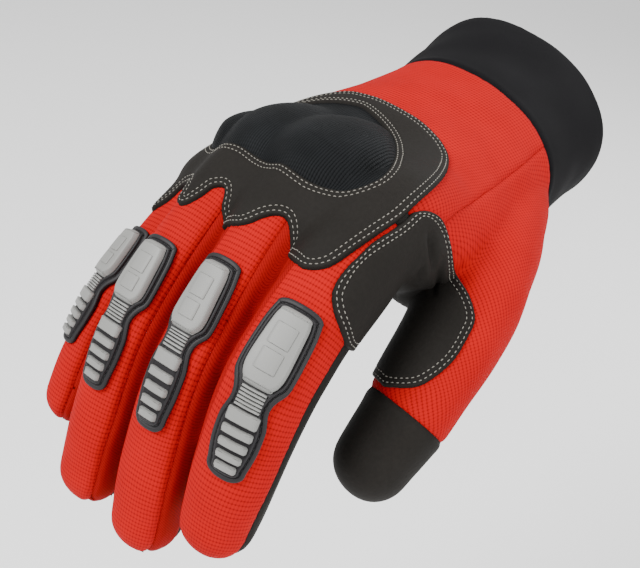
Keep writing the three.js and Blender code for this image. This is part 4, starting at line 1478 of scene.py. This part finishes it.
class GLOVE_OT_guards(bpy.types.Operator):
    """Build the rubber impact guards on the backs of the four fingers"""

    bl_idname = "glove.guards"
    bl_label = "Impact guards"

    def execute(self, context):
        sizes, colours = context.scene.glove_sizes, context.scene.glove_colours
        dark, pale = colours.dark_rubber, colours.pale_rubber
        dark = grained("base_rubber", dark, shade(dark, 1.7), grain=40, wear=0.5,
                       roughness=0.6, bump=0.12, specular=0.3)
        pale = grained("pale_rubber", pale, shade(pale, 1.25), grain=50, wear=0.35,
                       roughness=0.58, bump=0.08, specular=0.5)
        lines = []
        for name in FINGER_NAMES:
            base, head, bars, line = guard_shapes(name, sizes.guard_lift)
            lines.append(line)
            new_piece(f"guard_base_{name}", *base, dark, "dark_rubber", [f"guard_{name}_base"])
            new_piece(f"guard_head_{name}", *head, pale, "grey_rubber", [f"guard_{name}_head"])
            nodes = [f"guard_{name}_bar_{i + 1}" for i in range(5)]
            new_piece(f"guard_bars_{name}", *bars, pale, "grey_rubber", nodes)
        thread = grained("dark_thread", (0.012, 0.011, 0.012), (0.03, 0.03, 0.03), grain=60,
                         roughness=0.8, bump=0.5, specular=0.3)
        shape = stitches_on(lines, *GUARD_STITCH)
        new_piece("guard_stitching", *shape, thread, "dark_rubber")
        return {"FINISHED"}


class GLOVE_OT_stage(bpy.types.Operator):
    """Set the pale floor, the soft lights and the camera"""

    bl_idname = "glove.stage"
    bl_label = "Floor, lights and camera"

    def execute(self, context):
        scene = context.scene
        size, z = FLOOR_SIZE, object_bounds()[0].z - FLOOR_DEPTH
        mesh = bpy.data.meshes.new("floor")
        mesh.from_pydata([(-size, -size, z), (size, -size, z), (size, size, z), (-size, size, z)],
                         [], [(0, 1, 2, 3)])
        floor = bpy.data.objects.new("floor", mesh)
        scene.collection.objects.link(floor)
        material, tree, shader = new_material("pale_floor", roughness=0.9, specular=0.1)
        shader.inputs["Base Color"].default_value = (0.95, 0.95, 0.95, 1)
        clear = add_node(tree, "ShaderNodeBsdfTransparent")
        facing = add_node(tree, "ShaderNodeNewGeometry")
        mix = add_node(tree, "ShaderNodeMixShader", {
            0: facing.outputs["Backfacing"], 1: shader.outputs[0], 2: clear.outputs[0]})
        tree.links.new(mix.outputs[0], tree.nodes["Material Output"].inputs["Surface"])
        mesh.materials.append(material)
        floor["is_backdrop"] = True
        world = bpy.data.worlds.new("studio")
        world.use_nodes = True
        background = world.node_tree.nodes["Background"].inputs
        background["Color"].default_value = (1, 1, 1, 1)
        background["Strength"].default_value = SKY
        scene.world = world
        for label, place, power, width in LIGHTS:
            light = bpy.data.lights.new(label, "AREA")
            light.energy = power
            light.size = width
            lamp = bpy.data.objects.new(label, light)
            lamp.location = place
            lamp.rotation_mode = "QUATERNION"
            lamp.rotation_quaternion = (Vector(LIT_POINT) - Vector(place)).to_track_quat("-Z", "Y")
            scene.collection.objects.link(lamp)
        lens = bpy.data.cameras.new("camera")
        lens.lens = VIEW_LENS
        lens.sensor_width = 36
        camera = bpy.data.objects.new("camera", lens)
        turn = Matrix(list(view_axes(VIEW_TURN))).transposed().to_4x4()
        camera.matrix_world = Matrix.Translation(Vector(VIEWPOINT) * MM) @ turn
        scene.collection.objects.link(camera)
        lens.clip_start, lens.clip_end = 0.01, 20
        scene.camera = camera
        return {"FINISHED"}


class GLOVE_PT_panel(bpy.types.Panel):
    """Sizes, colours and steps of the glove"""

    bl_idname = "GLOVE_PT_panel"
    bl_label = "Impact glove"
    bl_space_type = "VIEW_3D"
    bl_region_type = "UI"
    bl_category = "Glove"

    def draw(self, context):
        for group in (context.scene.glove_sizes, context.scene.glove_colours):
            for key in group.bl_rna.properties.keys():
                if key not in ("rna_type", "name"):
                    self.layout.prop(group, key)
        for step in STEPS:
            self.layout.operator(step)


STEPS = ["glove.cloth", "glove.patches", "glove.guards", "glove.stage"]
CLASSES = [GloveSizes, GloveColours, GLOVE_OT_cloth, GLOVE_OT_patches, GLOVE_OT_guards,
           GLOVE_OT_stage, GLOVE_PT_panel]


def register():
    """Adds the classes and the scene's settings."""
    for kind in CLASSES:
        bpy.utils.register_class(kind)
    bpy.types.Scene.glove_sizes = bpy.props.PointerProperty(type=GloveSizes)
    bpy.types.Scene.glove_colours = bpy.props.PointerProperty(type=GloveColours)


def unregister():
    """Takes them away again."""
    del bpy.types.Scene.glove_colours
    del bpy.types.Scene.glove_sizes
    for kind in reversed(CLASSES):
        bpy.utils.unregister_class(kind)


def main():
    """Builds the glove and its stage."""
    register()
    bpy.ops.glove.cloth()
    bpy.ops.glove.patches()
    bpy.ops.glove.guards()
    bpy.ops.glove.stage()


if __name__ == "__main__":
    main()
